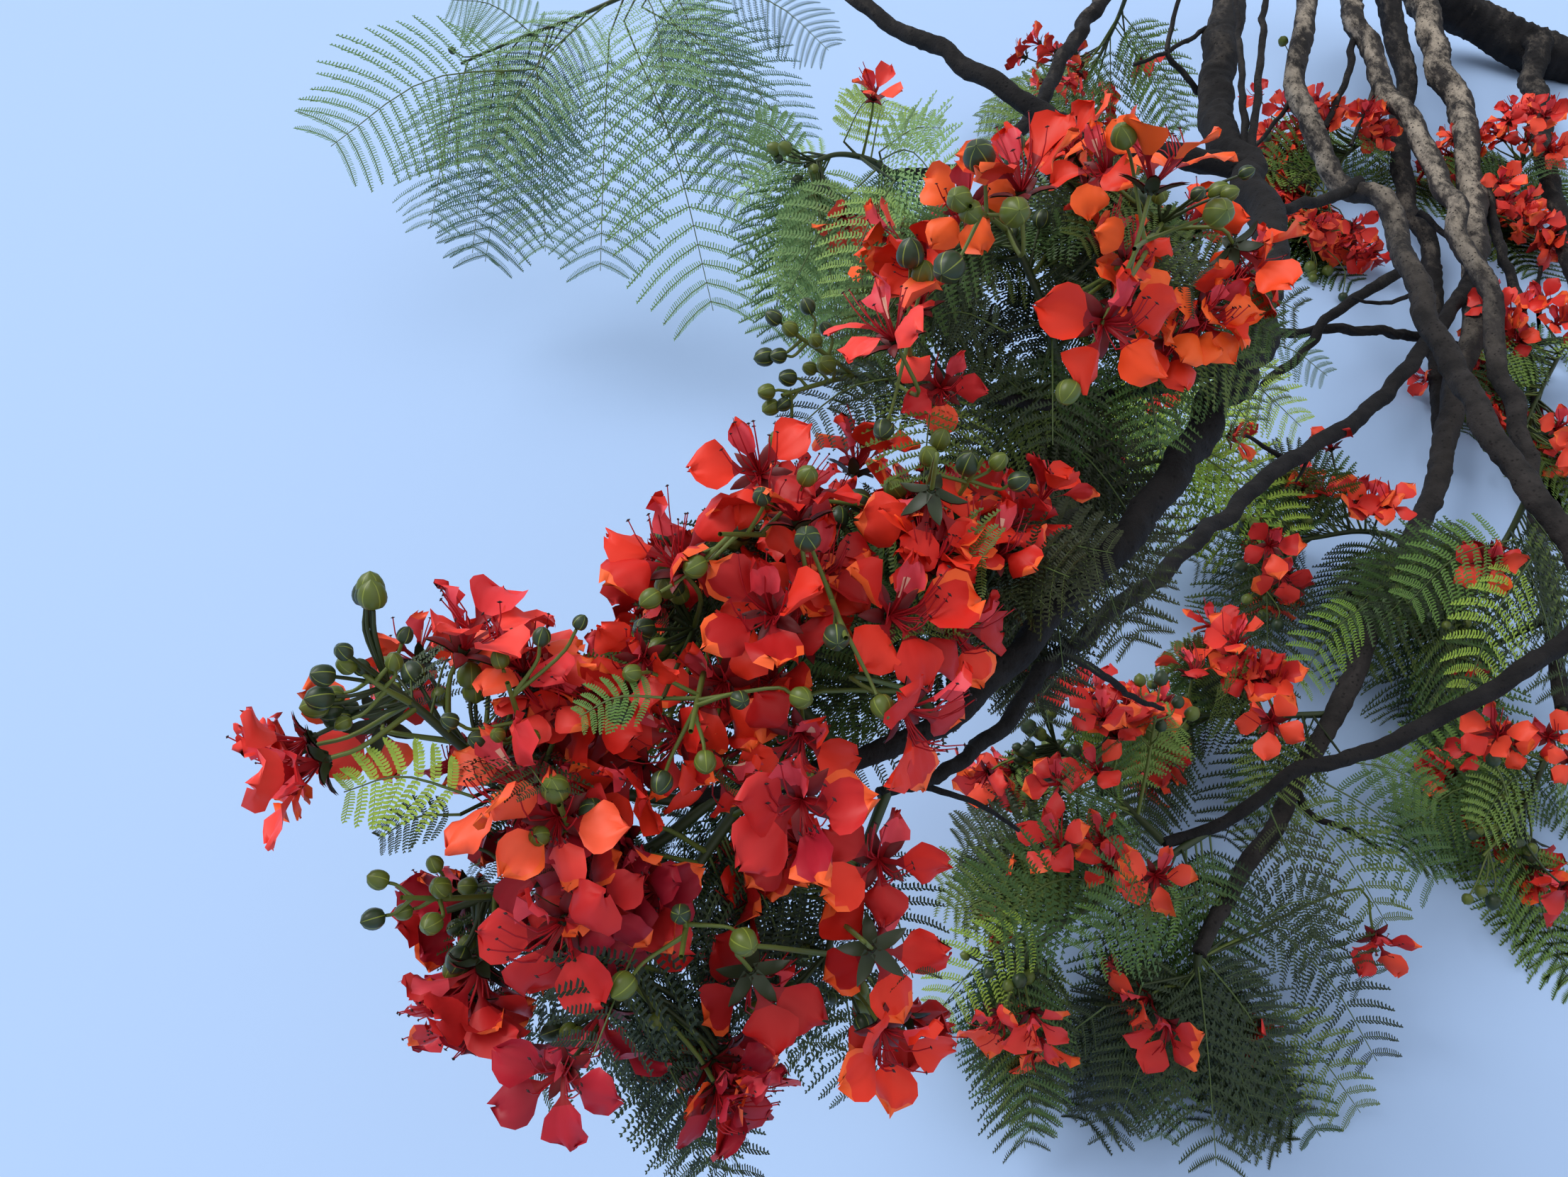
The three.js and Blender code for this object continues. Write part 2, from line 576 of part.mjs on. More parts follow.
// Whether a new solid would come within the clearance of any that other pieces have taken.
function isClear(made, owner) {
  return near(made).every((other) => other.owner === owner || other.made.minGap(made, 1) > CLEARANCE * 0.9);
}

function near(made) {
  const box = made.boundingBox();
  return placed.filter(({ box: other }) => [0, 1, 2].every((axis) =>
    box.min[axis] - 1 < other.max[axis] && other.min[axis] - 1 < box.max[axis]));
}

function take(made, owner) {
  placed.push({ made, owner, box: made.boundingBox() });
}

function addNode(name, made, look) {
  const mesh = new THREE.Mesh(geometryOf(made), new THREE.MeshStandardMaterial(look));
  mesh.name = name;
  bough.add(mesh);
}

// The limbs. A child starts inside its parent and is cut clear of the parent's skin.
const limbSkins = {};
for (const [name, { from, route, radii }] of Object.entries(LIMBS)) {
  const curve = smoothRoute(route.map(seen));
  const steps = Math.round(curve.getLength() / LIMB_STEP);
  const sides = name === "main_bough" ? LIMB_SIDES + 2 : LIMB_SIDES;
  let made = taperedTube(curve, radii, sides, steps);
  if (from) made = largestBody(made.subtract(limbSkins[from]));
  limbSkins[name] = taperedTube(curve, radii, sides, steps, CLEARANCE);
  take(made, name);
  addNode(name, made, BARK);
}

// The stems of the masses, each cut clear of every limb.
const stems = {};
for (const [name, { from, route }] of Object.entries(MASSES)) {
  const curve = smoothRoute(route.map(seen));
  const steps = Math.max(4, Math.round(curve.getLength() / 70));
  const radii = [STALK_RADIUS, STALK_TIP_RADIUS];
  const made = largestBody(taperedTube(curve, radii, 4, steps).subtract(limbSkins[from]));
  const skin = taperedTube(curve, radii, 4, steps, CLEARANCE);
  if (!isClear(made, name)) throw new Error(name + "'s stem touches another piece");
  stems[name] = { curve, made, skin };
  take(made, name);
}

// The large blooms, each on a stalk that ends clear of its stem.
for (const [name, { on, at, bearing, lean }] of Object.entries(LARGE_BLOOMS)) {
  const stem = stems[on];
  const whole = bloom(stem.curve, seen(at), facing(bearing, lean), BLOOM_REACH, FULL_PETAL, 2);
  const made = largestBody(whole.subtract(stem.skin));
  if (!isClear(made, on)) throw new Error(name + " touches another piece");
  take(made, name);
  addNode(name, made, PETAL);
}

// The masses. A bud, bloom or leaf that would touch another piece is left out.
Object.entries(MASSES).forEach(([name, mass], index) => {
  const stem = stems[name].curve;
  const seed = index + 1;
  const pieces = [];
  const grow = (piece) => {
    const made = largestBody(piece.trimByPlane([0, 0, 1], 0));
    if (made.volume() < 1) throw new Error("a piece of " + name + " is inside out");
    if (!isClear(made, name)) return;
    pieces.push(made);
    take(made, name);
  };
  for (let i = 0; i < Math.ceil(mass.blooms / SHARE_DRAWN); i++) {
    const { middle, axis, reach } = bloomPlan(stem, seed, i);
    grow(bloom(stem, middle, axis, reach, PLAIN_PETAL, 1));
  }
  for (let i = 0; i < Math.ceil(mass.buds / (SHARE_DRAWN + 1)); i++) {
    const { middle, axis, size } = budPlan(stem, seed, i);
    grow(bud(stem, middle, axis, size));
  }
  for (let i = 0; i < mass.leaves / LEAF_SHARE_DRAWN; i++) grow(frond(leafPlan(stem, mass, seed, i)));
  const made = library.Manifold.union([stems[name].made, ...pieces]);
  addNode(name, largestBody(made).simplify(WELD), mass.blooms > mass.leaves / 3 ? PETAL : LEAF);
});

export default bough;
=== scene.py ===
"""A flowering bough of a flame tree, cut and laid down, dressed for its portrait.

The limbs follow the solids' routes with bark on them. Each mass of the solids becomes its stem,
feathery leaves, buds and blooms, by the same seeded rule, drawn to the last leaflet. The pieces
are worked out in millimetres, +Z up, and turned to metres when their meshes are made.
"""

import math

import bpy
import numpy as np
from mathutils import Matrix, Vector


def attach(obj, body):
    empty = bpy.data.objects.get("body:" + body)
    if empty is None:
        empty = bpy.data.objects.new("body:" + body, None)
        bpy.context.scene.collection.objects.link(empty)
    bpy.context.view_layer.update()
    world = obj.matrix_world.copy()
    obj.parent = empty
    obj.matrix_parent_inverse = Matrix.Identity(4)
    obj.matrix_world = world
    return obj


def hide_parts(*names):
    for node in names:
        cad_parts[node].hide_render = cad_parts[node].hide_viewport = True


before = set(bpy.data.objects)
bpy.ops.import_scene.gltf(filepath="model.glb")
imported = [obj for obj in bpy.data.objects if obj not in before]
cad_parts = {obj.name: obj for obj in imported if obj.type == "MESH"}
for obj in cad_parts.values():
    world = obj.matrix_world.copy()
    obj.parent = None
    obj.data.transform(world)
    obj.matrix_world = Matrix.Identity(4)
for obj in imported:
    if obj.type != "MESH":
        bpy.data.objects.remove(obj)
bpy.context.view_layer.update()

# The eye that the routes are given from: across and down in the picture in pixels, and how deep
# along the line of sight in millimetres.
PICTURE_WIDTH = 2212
PICTURE_HEIGHT = 1661
FOCAL_PIXELS = 1597
SENSOR_MM = 36
EYE = np.array([-893.2, -1729.9, 1450.0])
EYE_TILT = math.radians(50)
FORWARD = np.array([0, math.cos(EYE_TILT), -math.sin(EYE_TILT)])
UPWARD = np.array([0, math.sin(EYE_TILT), math.cos(EYE_TILT)])
ACROSS = np.array([1.0, 0, 0])
TO_EYE = -FORWARD
HANGING = -UPWARD
MM = 0.001
GROUND_CLEARANCE = 0.8
FULL_TURN = 2 * math.pi

# A direction that is nearly along the one it is to be squared to gives way to another.
NEARLY_ALONG = 0.8
NEARLY_NOTHING = 0.2

# Sizes of the plant's own parts, in millimetres.
BLOOM_REACH = 57
BLOOM_CALYX = 7
PEDICEL_RADIUS = 1.7
BUD_LENGTH = 25
BUD_RADIUS = 9
STALK_RADIUS = 5.2
STALK_TIP_RADIUS = 2.4
LONG_LEAF = 300
YOUNG_LEAF = 115

# How things stand round a stem, the same as in the solids: each next one is a golden share
# farther along it and a golden angle farther round it, and all stand out less in depth. The first
# DRAWN_BLOOMS keep to the solids' own places. A leaf is in the clear if its point at LEAF_MOST is.
GOLDEN_SHARE = 0.618034
GOLDEN_ANGLE = 2.399963
DEPTH_SHARE = 0.75
DRAWN_BLOOMS = 6
LEAF_MOST = 0.85

# Where each kind of thing starts its own run of random numbers.
SEEDS_A_MASS = 1000
BUD_SEEDS = 300
BLOOM_SEEDS = 600
PETAL_SEEDS_A_MASS = 100
LIMB_SEEDS = 300
THIN_LIMB_SEEDS = 500
SPRAY_SEEDS = 7000
LARGE_BLOOM_SEEDS = 9000
SHOWN_BLOOM_SEEDS = 9500

# Each limb's route and its end radii.
LIMBS = {
    "main_bough": ([(2480, 125, 2882), (2212, 78, 3010), (2040, 10, 3050), (1900, -90, 2960),
        (1760, -190, 2780)], (66, 40)),
    "crook_bough": ([(1765, -186, 2785), (1740, -80, 2350), (1735, 20, 1950), (1712, 110, 1800),
        (1722, 185, 1680), (1762, 250, 1560), (1788, 340, 1380), (1780, 450, 1210), (1740, 530, 1120),
        (1690, 620, 1050), (1600, 740, 980), (1500, 850, 930), (1390, 970, 890), (1265, 1050, 870),
        (1120, 1100, 866), (960, 1130, 860)], (34, 5.5)),
    "inner_bough": ([(1748, 515, 1134), (1650, 540, 1120), (1560, 560, 1080), (1480, 570, 1040),
        (1400, 560, 1000)], (9, 5.5)),
    "left_fork": ([(1755, 240, 1580), (1640, 215, 1590), (1540, 205, 1560), (1445, 141, 1580),
        (1353, 85, 1650), (1282, 50, 1720), (1212, 0, 1800), (1130, -60, 1900), (1030, -70, 2000),
        (960, -40, 2080)], (18, 9)),
    "upper_fork": ([(1741, -85, 2360), (1640, -70, 2320), (1557, 0, 2150), (1515, 56, 2020),
        (1473, 134, 1870), (1416, 205, 1740), (1339, 240, 1620), (1261, 247, 1530)], (19, 8)),
    "great_bough": ([(1990, -25, 3000), (2009, 10, 2930), (2023, 78, 2820), (2058, 141, 2690),
        (2072, 247, 2500), (2084, 339, 2340), (2079, 423, 2210), (2051, 564, 2010), (2030, 670, 1890),
        (1974, 797, 1750), (1903, 964, 1600), (1825, 1112, 1480), (1741, 1253, 1390),
        (1691, 1345, 1330)], (36, 9)),
    "slender_bough": ([(2082, 385, 2265), (2016, 480, 2060), (1931, 578, 1800), (1811, 656, 1560),
        (1705, 748, 1380), (1614, 830, 1240), (1500, 920, 1110), (1409, 1028, 1010), (1330, 1090, 960),
        (1240, 1120, 930)], (16, 5.5)),
    "pale_bough": ([(1905, -85, 2960), (1910, 14, 2800), (1940, 95, 2660), (1995, 183, 2480),
        (2044, 282, 2300), (2079, 367, 2150), (2114, 494, 2020), (2140, 600, 1920), (2165, 705, 1840),
        (2182, 830, 1740), (2205, 1000, 1600)], (28, 11)),
    "spotted_bough": ([(1825, -140, 2880), (1840, 0, 2560), (1833, 127, 2330), (1870, 230, 2200),
        (1952, 296, 2080), (2005, 420, 1900), (2058, 536, 1760), (2150, 677, 1620), (2235, 800, 1540),
        (2262, 866, 1515)], (24, 17)),
    "rising_bough": ([(2258, 858, 1517), (2212, 900, 1495), (2129, 957, 1465), (2023, 1020, 1435),
        (1917, 1063, 1410), (1825, 1091, 1390), (1741, 1154, 1370), (1642, 1190, 1350)], (15, 7)),
    "back_bough": ([(1945, -60, 2985), (1981, 120, 2800), (1974, 247, 2620), (2016, 353, 2430),
        (2025, 494, 2220), (2032, 640, 2040)], (30, 12)),
    "edge_bough": ([(2168, 60, 2975), (2166, 120, 2870), (2178, 212, 2680), (2212, 353, 2430),
        (2238, 480, 2240)], (32, 13)),
    "cross_bough": ([(2024, 480, 2240), (1950, 468, 2150), (1854, 466, 2050), (1720, 487, 1900),
        (1640, 505, 1800)], (11, 7)),
}
# Limbs that take the pale bark: their own paler tone, with painted sunlight on these boughs, which catch
# the sun.
PALE_LIMBS = ("pale_bough", "spotted_bough", "great_bough")

# Each thin limb's route and end radii: the shoots and side limbs between the boughs.
THIN_LIMBS = [
    ([(1757, 224, 1600), (1752, 112, 1690), (1745, 20, 1790), (1739, -40, 1850)], (6, 4.5)),
    ([(1764, 226, 1585), (1776, 112, 1670), (1783, 20, 1760), (1786, -40, 1820)], (6.5, 5)),
    ([(1836, 95, 2370), (1815, 150, 2330), (1785, 190, 2300), (1758, 222, 2270)], (6, 4)),
    ([(1712, 112, 1800), (1690, 130, 1790), (1668, 100, 1780), (1646, 73, 1770), (1655, 30, 1790),
     (1668, -20, 1820)], (6, 3.5)),
    ([(1722, 25, 1930), (1690, 48, 1880), (1646, 73, 1770), (1600, 92, 1750)], (5, 3)),
    ([(1916, 258, 2140), (1880, 278, 2080), (1840, 288, 1990), (1797, 297, 1900), (1735, 305, 1800),
     (1670, 330, 1700)], (13, 7)),
    ([(1910, 30, 2780), (1906, 85, 2700), (1888, 140, 2620), (1868, 180, 2560)], (10, 7)),
    ([(1945, 110, 2640), (1934, 138, 2600), (1920, 170, 2560), (1906, 205, 2520)], (7, 4)),
    ([(2000, 300, 2300), (2020, 312, 2290), (2042, 334, 2270), (2062, 360, 2240)], (7, 5)),
    ([(2098, 270, 2470), (2109, 326, 2400), (2128, 380, 2330), (2150, 464, 2240), (2163, 560, 2160),
     (2180, 660, 2080), (2196, 760, 2000)], (12, 8)),
    ([(2186, 240, 2640), (2189, 320, 2540), (2172, 385, 2450), (2166, 475, 2350)], (6, 4)),
    ([(2030, 481, 2225), (2080, 490, 2250), (2130, 486, 2255), (2200, 480, 2262),
     (2240, 478, 2266)], (8, 6)),
    ([(1988, 376, 2120), (1922, 415, 2060), (1868, 455, 2020), (1840, 495, 1990),
     (1782, 543, 1960)], (12, 8)),
    ([(2000, 412, 2060), (1970, 424, 2040), (1940, 428, 2030), (1906, 420, 2020)], (5, 3)),
    ([(1820, 652, 1580), (1800, 640, 1570), (1780, 628, 1560), (1757, 614, 1550)], (4.5, 2.5)),
    ([(1846, 642, 1620), (1838, 664, 1605), (1828, 680, 1595)], (3.5, 1.8)),
    ([(1722, 736, 1410), (1702, 733, 1400), (1690, 742, 1395), (1674, 750, 1390)], (4, 2)),
    ([(1985, 770, 1775), (1960, 800, 1745), (1910, 832, 1715), (1864, 872, 1690)], (7, 4)),
    ([(2190, 862, 1700), (2160, 885, 1680), (2130, 900, 1665), (2080, 916, 1640)], (7, 4)),
    ([(1290, 1108, 948), (1340, 1120, 960), (1390, 1140, 980), (1437, 1172, 1000)], (3.5, 2)),
    ([(1500, 920, 1110), (1560, 955, 1180), (1600, 985, 1250), (1640, 1000, 1330)], (5, 3)),
    ([(1741, 1253, 1390), (1700, 1240, 1370), (1660, 1235, 1350), (1620, 1250, 1335)], (6, 3)),
    ([(1825, 1112, 1480), (1850, 1150, 1460), (1900, 1170, 1440), (1950, 1200, 1430)], (6, 3)),
]

# Each mass: its region of the bough, its stem's route, how many leaves, buds and blooms grow on it,
# and which tints its leaves and petals take. leaf is a leaf's length and leaf_from how far up the
# stem the leaves begin. lean is how much they lean on along it, at its foot and at its tip, and
# hang is how much they hang. leading is the last leaf that may stand before the blooms, and loose
# is how many times farther out the last bloom stands. fills gives the left, top, right and low
# sides of the part of the picture that the mass keeps to. A mass has the usual value of whatever
# it doesn't tell.
USUAL = dict(leaf_from=0.1, lean=(0.35, 0.35), hang=0.25, leading=5, loose=1, greens="mixed",
             reds="distant", fills=(-900, -900, 9000, 9000))
MASSES = {
    "left_head": dict(
        region="front", route=[(960, 1130, 860), (830, 1115, 830), (708, 1093, 800), (590, 1000, 770),
        (515, 940, 755)], leaves=9, leaf=125, leaf_from=0.3, buds=20, blooms=12, leading=0,
        fills=(425, 800, 1100, 1240), greens="shade", reds="bright"),
    "lower_left_head": dict(
        region="front", route=[(1015, 1121, 862), (900, 1205, 850), (740, 1250, 810), (630, 1285, 790)],
        leaves=14, leaf=110, buds=18, blooms=22, fills=(640, 1010, 1200, 1450), greens="shade",
        reds="crimson"),
    "bottom_head": dict(
        region="front", route=[(1060, 1114, 864), (985, 1220, 850), (920, 1330, 830), (880, 1420, 815)],
        leaves=30, leaf=165, leaf_from=0.15, buds=10, blooms=18, fills=(700, 1050, 1150, 1640),
        greens="shade", reds="crimson"),
    "bottom_right_head": dict(
        region="front", route=[(1250, 1118, 933), (1215, 1210, 900), (1180, 1300, 870),
        (1160, 1370, 860)], leaves=16, leaf=160, buds=10, blooms=11, fills=(950, 1080, 1300, 1480),
        greens="shade", reds="scarlet"),
    "middle_head": dict(
        region="front", route=[(1200, 1075, 868), (1120, 990, 880), (1030, 920, 870), (950, 870, 850)],
        leaves=30, leaf=150, buds=18, blooms=24, reds="scarlet"),
    "crest_head": dict(
        region="front", route=[(1320, 1018, 875), (1245, 900, 890), (1160, 790, 880), (1090, 710, 870)],
        leaves=30, leaf=140, leaf_from=0.15, buds=12, blooms=19, fills=(880, 640, 1500, 1200),
        reds="scarlet"),
    "shoulder_head": dict(
        region="front", route=[(1420, 937, 901), (1370, 860, 910), (1320, 780, 910), (1290, 690, 900)],
        leaves=30, leaf=150, buds=10, blooms=8, fills=(1150, 600, 1560, 1100), greens="deep",
        reds="scarlet"),
    "dark_fronds": dict(
        region="upper", route=[(1450, 567, 1026), (1450, 640, 1090), (1430, 710, 1110),
        (1380, 770, 1110)], leaves=70, leaf=190, leaf_from=0.05, buds=4, blooms=4,
        fills=(1100, 420, 1660, 960), greens="deep", reds="scarlet"),
    "upper_left_head": dict(
        region="upper", route=[(1400, 560, 1000), (1320, 545, 985), (1240, 535, 975), (1150, 520, 970)],
        leaves=40, leaf=160, leaf_from=0.15, buds=12, blooms=5, fills=(1190, 415, 1500, 680),
        reds="bright"),
    "upper_crown_head": dict(
        region="upper", route=[(1500, 568, 1050), (1480, 460, 1010), (1440, 360, 980), (1400, 290, 960)],
        leaves=40, leaf=170, buds=12, blooms=8, reds="vermilion"),
    "upper_right_head": dict(
        region="upper", route=[(1600, 551, 1098), (1600, 460, 1050), (1620, 360, 1010), (1650, 290, 980)],
        leaves=26, leaf=150, buds=10, blooms=10, reds="vermilion"),
    "top_fronds": dict(
        region="top", route=[(960, -40, 2080), (890, -10, 2100), (810, 25, 2110), (730, 55, 2110),
        (650, 90, 2100)], leaves=8, leaf=370, leaf_from=0, lean=(-1, 1.5), hang=1.1, buds=3, blooms=0,
        greens="haze", reds="scarlet"),
    "light_fronds": dict(
        region="top", route=[(1261, 247, 1530), (1225, 225, 1500), (1180, 218, 1475), (1135, 235, 1455)],
        leaves=34, leaf=215, leaf_from=0.05, buds=10, blooms=2, fills=(1040, 90, 1420, 520),
        greens="lit"),
    "top_middle_head": dict(
        region="top", route=[(1600, -38, 2245), (1575, 30, 2400), (1540, 100, 2590), (1500, 170, 2740),
        (1470, 215, 2795)], leaves=22, leaf=260, leaf_from=0.2, buds=14, blooms=26, loose=2.2,
        greens="fresh"),
    "right_middle_head": dict(
        region="right", route=[(1990, 761, 1788), (1920, 750, 1770), (1850, 760, 1750),
        (1780, 770, 1740)], leaves=22, leaf=210, buds=34, blooms=14, loose=1.7),
    "right_fan": dict(
        region="right", route=[(2160, 691, 1612), (2125, 760, 1640), (2080, 820, 1640),
        (2020, 880, 1620)], leaves=36, leaf=230, buds=10, blooms=5),
    "lower_right_head": dict(
        region="low", route=[(1642, 1190, 1350), (1580, 1130, 1390), (1520, 1078, 1420),
        (1472, 1034, 1430)], leaves=20, leaf=180, buds=44, blooms=22, loose=1.6,
        fills=(1390, 900, 1900, 1330), greens="fresh"),
    "lower_right_top": dict(
        region="low", route=[(1880, 1008, 1564), (1800, 1010, 1570), (1720, 1010, 1580),
        (1640, 1000, 1580)], leaves=24, leaf=190, buds=20, blooms=20, loose=1.6),
    "lower_fronds": dict(
        region="low", route=[(1691, 1345, 1330), (1688, 1368, 1335), (1682, 1392, 1342),
        (1672, 1415, 1350)], leaves=36, leaf=200, leaf_from=0, buds=8, blooms=4,
        fills=(1430, 1280, 1950, 1610), greens="shade"),
    "lower_left_fronds": dict(
        region="low", route=[(1725, 1160, 1366), (1600, 1240, 1330), (1490, 1310, 1300),
        (1410, 1365, 1280)], leaves=36, leaf=220, leaf_from=0.05, buds=10, blooms=9,
        fills=(1330, 1120, 1800, 1560)),
    "far_right_head": dict(
        region="right", route=[(2205, 1000, 1600), (2180, 1070, 1560), (2155, 1130, 1530),
        (2120, 1180, 1510)], leaves=20, leaf=210, buds=16, blooms=14, loose=1.8, greens="fresh"),
    "back_left_head": dict(
        region="back", route=[(1979, 170, 2730), (1910, 210, 2700), (1850, 270, 2620), (1800, 330, 2540)],
        leaves=26, leaf=250, buds=12, blooms=70, loose=2.6, greens="fresh"),
    "back_right_head": dict(
        region="back", route=[(2176, 200, 2700), (2150, 230, 2670), (2120, 270, 2620), (2085, 310, 2560)],
        leaves=22, leaf=240, buds=10, blooms=60, loose=2.4, greens="fresh"),
    "edge_head": dict(
        region="back", route=[(2230, 440, 2300), (2200, 500, 2200), (2170, 560, 2110), (2140, 630, 2030)],
        leaves=18, leaf=220, buds=10, blooms=40, loose=2.4, greens="fresh"),
    "back_fronds": dict(
        region="back", route=[(1640, 505, 1800), (1650, 550, 1770), (1660, 590, 1750), (1670, 630, 1730)],
        leaves=14, leaf=210, leaf_from=0, buds=2, blooms=3, greens="sunlit", reds="scarlet"),
}
for mass in MASSES.values():
    mass.update({**USUAL, **mass})

# Each large bloom, which is a solid too: the mass whose stem carries it, its middle, the bearing
# that its face leans to, counter-clockwise from the right, and how far it leans away from the eye.
LARGE_BLOOMS = {
    "tip_bloom": ("left_head", (452, 1075, 735), 200, 75),
    "star_bloom": ("left_head", (538, 1022, 815), 170, 150),
    "crested_bloom": ("left_head", (655, 915, 760), 60, 70),
    "inner_left_bloom": ("left_head", (745, 1115, 745), 150, 65),
    "spread_bloom": ("middle_head", (960, 800, 790), 120, 50),
    "plume_bloom": ("crest_head", (1125, 735, 780), 100, 75),
    "ruffled_bloom": ("middle_head", (1090, 868, 770), 140, 25),
    "crimson_bloom": ("middle_head", (1020, 962, 810), 200, 20),
    "broad_bloom": ("crest_head", (1256, 868, 790), 20, 20),
    "front_bloom": ("bottom_head", (1130, 1128, 720), 230, 10),
    "side_bloom": ("crest_head", (1275, 1000, 760), 330, 55),
    "drooping_bloom": ("shoulder_head", (1313, 700, 810), 270, 140),
    "low_bloom": ("lower_left_head", (796, 1300, 740), 240, 25),
    "low_left_bloom": ("lower_left_head", (676, 1365, 770), 250, 80),
    "hanging_bloom": ("bottom_head", (850, 1425, 780), 262, 60),
    "nodding_bloom": ("bottom_right_head", (1062, 1375, 780), 285, 135),
    "lowest_bloom": ("bottom_right_head", (1232, 1340, 790), 300, 150),
    "dark_face_bloom": ("upper_right_head", (1556, 455, 830), 280, 20),
    "crown_bloom": ("upper_crown_head", (1440, 270, 840), 100, 55),
    "twin_bloom": ("upper_right_head", (1625, 262, 830), 80, 75),
    "edge_bloom": ("upper_right_head", (1745, 350, 970), 330, 120),
    "left_upper_bloom": ("upper_left_head", (1262, 480, 850), 120, 60),
}

# Smaller blooms that show whole among the others, told in the same way.
SHOWN_BLOOMS = [
    ("middle_head", (962, 1035, 775), 200, 35),
    ("middle_head", (902, 1080, 770), 240, 45),
    ("middle_head", (1010, 1078, 790), 300, 60),
    ("crest_head", (1130, 1035, 785), 250, 30),
    ("shoulder_head", (1345, 885, 830), 340, 40),
    ("bottom_head", (880, 1180, 780), 180, 40),
    ("lower_fronds", (1940, 1322, 1400), 250, 25),
    ("lower_left_fronds", (1411, 1432, 1260), 230, 50),
    ("lower_right_head", (1535, 985, 1390), 80, 70),
    ("lower_right_top", (1682, 952, 1530), 90, 70),
]

# Leaves that show whole, by the mass whose stem carries them: each one's foot, its tip, how far it
# is turned from facing the eye, and which tints it takes.
SHOWN_LEAVES = [
    ("left_head", [
        ((668, 1125, 745), (464, 1112, 735), 20, "sunlit"),
        ((650, 1150, 760), (530, 1185, 750), 35, "shade")]),
    ("middle_head", [((935, 985, 720), (812, 1012, 715), 20, "sunlit")]),
    ("upper_crown_head", [((1395, 640, 960), (1290, 540, 940), 20, "mixed")]),
    ("upper_left_head", [
        ((1330, 560, 960), (1180, 590, 940), 15, "shade"),
        ((1290, 530, 960), (1120, 610, 930), 30, "shade")]),
    ("upper_crown_head", [
        ((1420, 470, 960), (1300, 440, 950), 0, "shade"),
        ((1450, 560, 1000), (1330, 500, 990), 10, "shade"),
        ((1500, 520, 1040), (1400, 400, 1030), 10, "shade"),
        ((1470, 450, 1030), (1420, 300, 1020), 0, "shade"),
        ((1480, 560, 1050), (1540, 420, 1040), -10, "shade")]),
    ("upper_right_head", [
        ((1560, 540, 1070), (1650, 400, 1060), 0, "mixed"),
        ((1560, 470, 1000), (1480, 330, 980), -10, "shade"),
        ((1640, 500, 1020), (1730, 470, 1010), 10, "mixed")]),
    ("light_fronds", [
        ((1262, 255, 1400), (1200, 405, 1360), 0, "lit"),
        ((1235, 240, 1430), (1130, 395, 1400), -15, "lit"),
        ((1140, 215, 1470), (1060, 250, 1450), 10, "lit"),
        ((1190, 200, 1480), (1245, 110, 1480), 0, "lit"),
        ((1240, 215, 1500), (1345, 170, 1500), 10, "lit"),
        ((1130, 230, 1450), (1050, 150, 1450), 0, "lit")]),
    ("upper_left_head", [
        ((1330, 500, 1030), (1478, 372, 1050), 10, "deep"),
        ((1370, 520, 1040), (1520, 455, 1060), -10, "deep"),
        ((1300, 480, 1030), (1372, 350, 1040), 0, "deep"),
        ((1420, 540, 1060), (1330, 420, 1080), 20, "deep"),
        ((1400, 430, 1060), (1350, 560, 1080), -10, "shade")]),
    ("dark_fronds", [((1450, 600, 1080), (1325, 500, 1090), 10, "deep")]),
    ("back_fronds", [
        ((1745, 560, 1600), (1625, 650, 1560), 10, "sunlit"),
        ((1690, 520, 1700), (1830, 600, 1690), 10, "sunlit"),
        ((1760, 480, 1780), (1870, 530, 1760), 20, "fresh")]),
    ("lower_left_fronds", [
        ((1690, 1265, 1260), (1522, 1345, 1240), 10, "sunlit"),
        ((1480, 1300, 1260), (1335, 1420, 1250), 0, "sunlit")]),
    ("lower_right_top", [
        ((1860, 1100, 1440), (2015, 1240, 1420), 10, "fresh"),
        ((1810, 1120, 1430), (1940, 1290, 1410), -10, "mixed"),
        ((1900, 1075, 1460), (2030, 1130, 1450), 20, "fresh"),
        ((1790, 1140, 1420), (1850, 1330, 1400), 0, "deep")]),
    ("lower_fronds", [
        ((1800, 1310, 1400), (1925, 1480, 1380), 0, "shade"),
        ((1745, 1330, 1370), (1895, 1255, 1380), 10, "shade"),
        ((1760, 1300, 1380), (1925, 1385, 1390), -10, "shade"),
        ((1770, 1420, 1370), (1905, 1560, 1350), 10, "mixed"),
        ((1710, 1420, 1330), (1768, 1600, 1320), 0, "shade"),
        ((1650, 1440, 1330), (1640, 1585, 1320), 10, "mixed"),
        ((1610, 1390, 1320), (1575, 1580, 1310), 0, "shade"),
        ((1560, 1420, 1310), (1455, 1540, 1300), -10, "mixed"),
        ((1740, 1400, 1380), (1840, 1585, 1360), 20, "fresh")]),
    ("right_fan", [
        ((2140, 760, 1560), (1990, 850, 1530), 10, "sunlit"),
        ((2160, 790, 1560), (2080, 960, 1520), -10, "sunlit"),
        ((1930, 850, 1600), (1840, 960, 1580), 0, "sunlit")]),
    ("top_fronds", [
        ((757, 98, 2080), (480, 205, 1880), 0, "haze"),
        ((859, 52, 2080), (849, 335, 2060), 0, "haze"),
        ((757, 95, 2090), (767, 318, 2070), 70, "lit"),
        ((775, 68, 2110), (610, -20, 2050), 10, "haze"),
        ((905, 10, 2090), (1105, 190, 2090), 15, "haze"),
        ((1010, -20, 2090), (1165, 70, 2110), 10, "haze"),
        ((880, 30, 2060), (985, 385, 2040), 25, "haze"),
        ((930, 0, 2110), (1045, 265, 2120), 30, "haze"),
        ((940, -20, 2140), (1010, 180, 2150), 0, "haze")]),
]

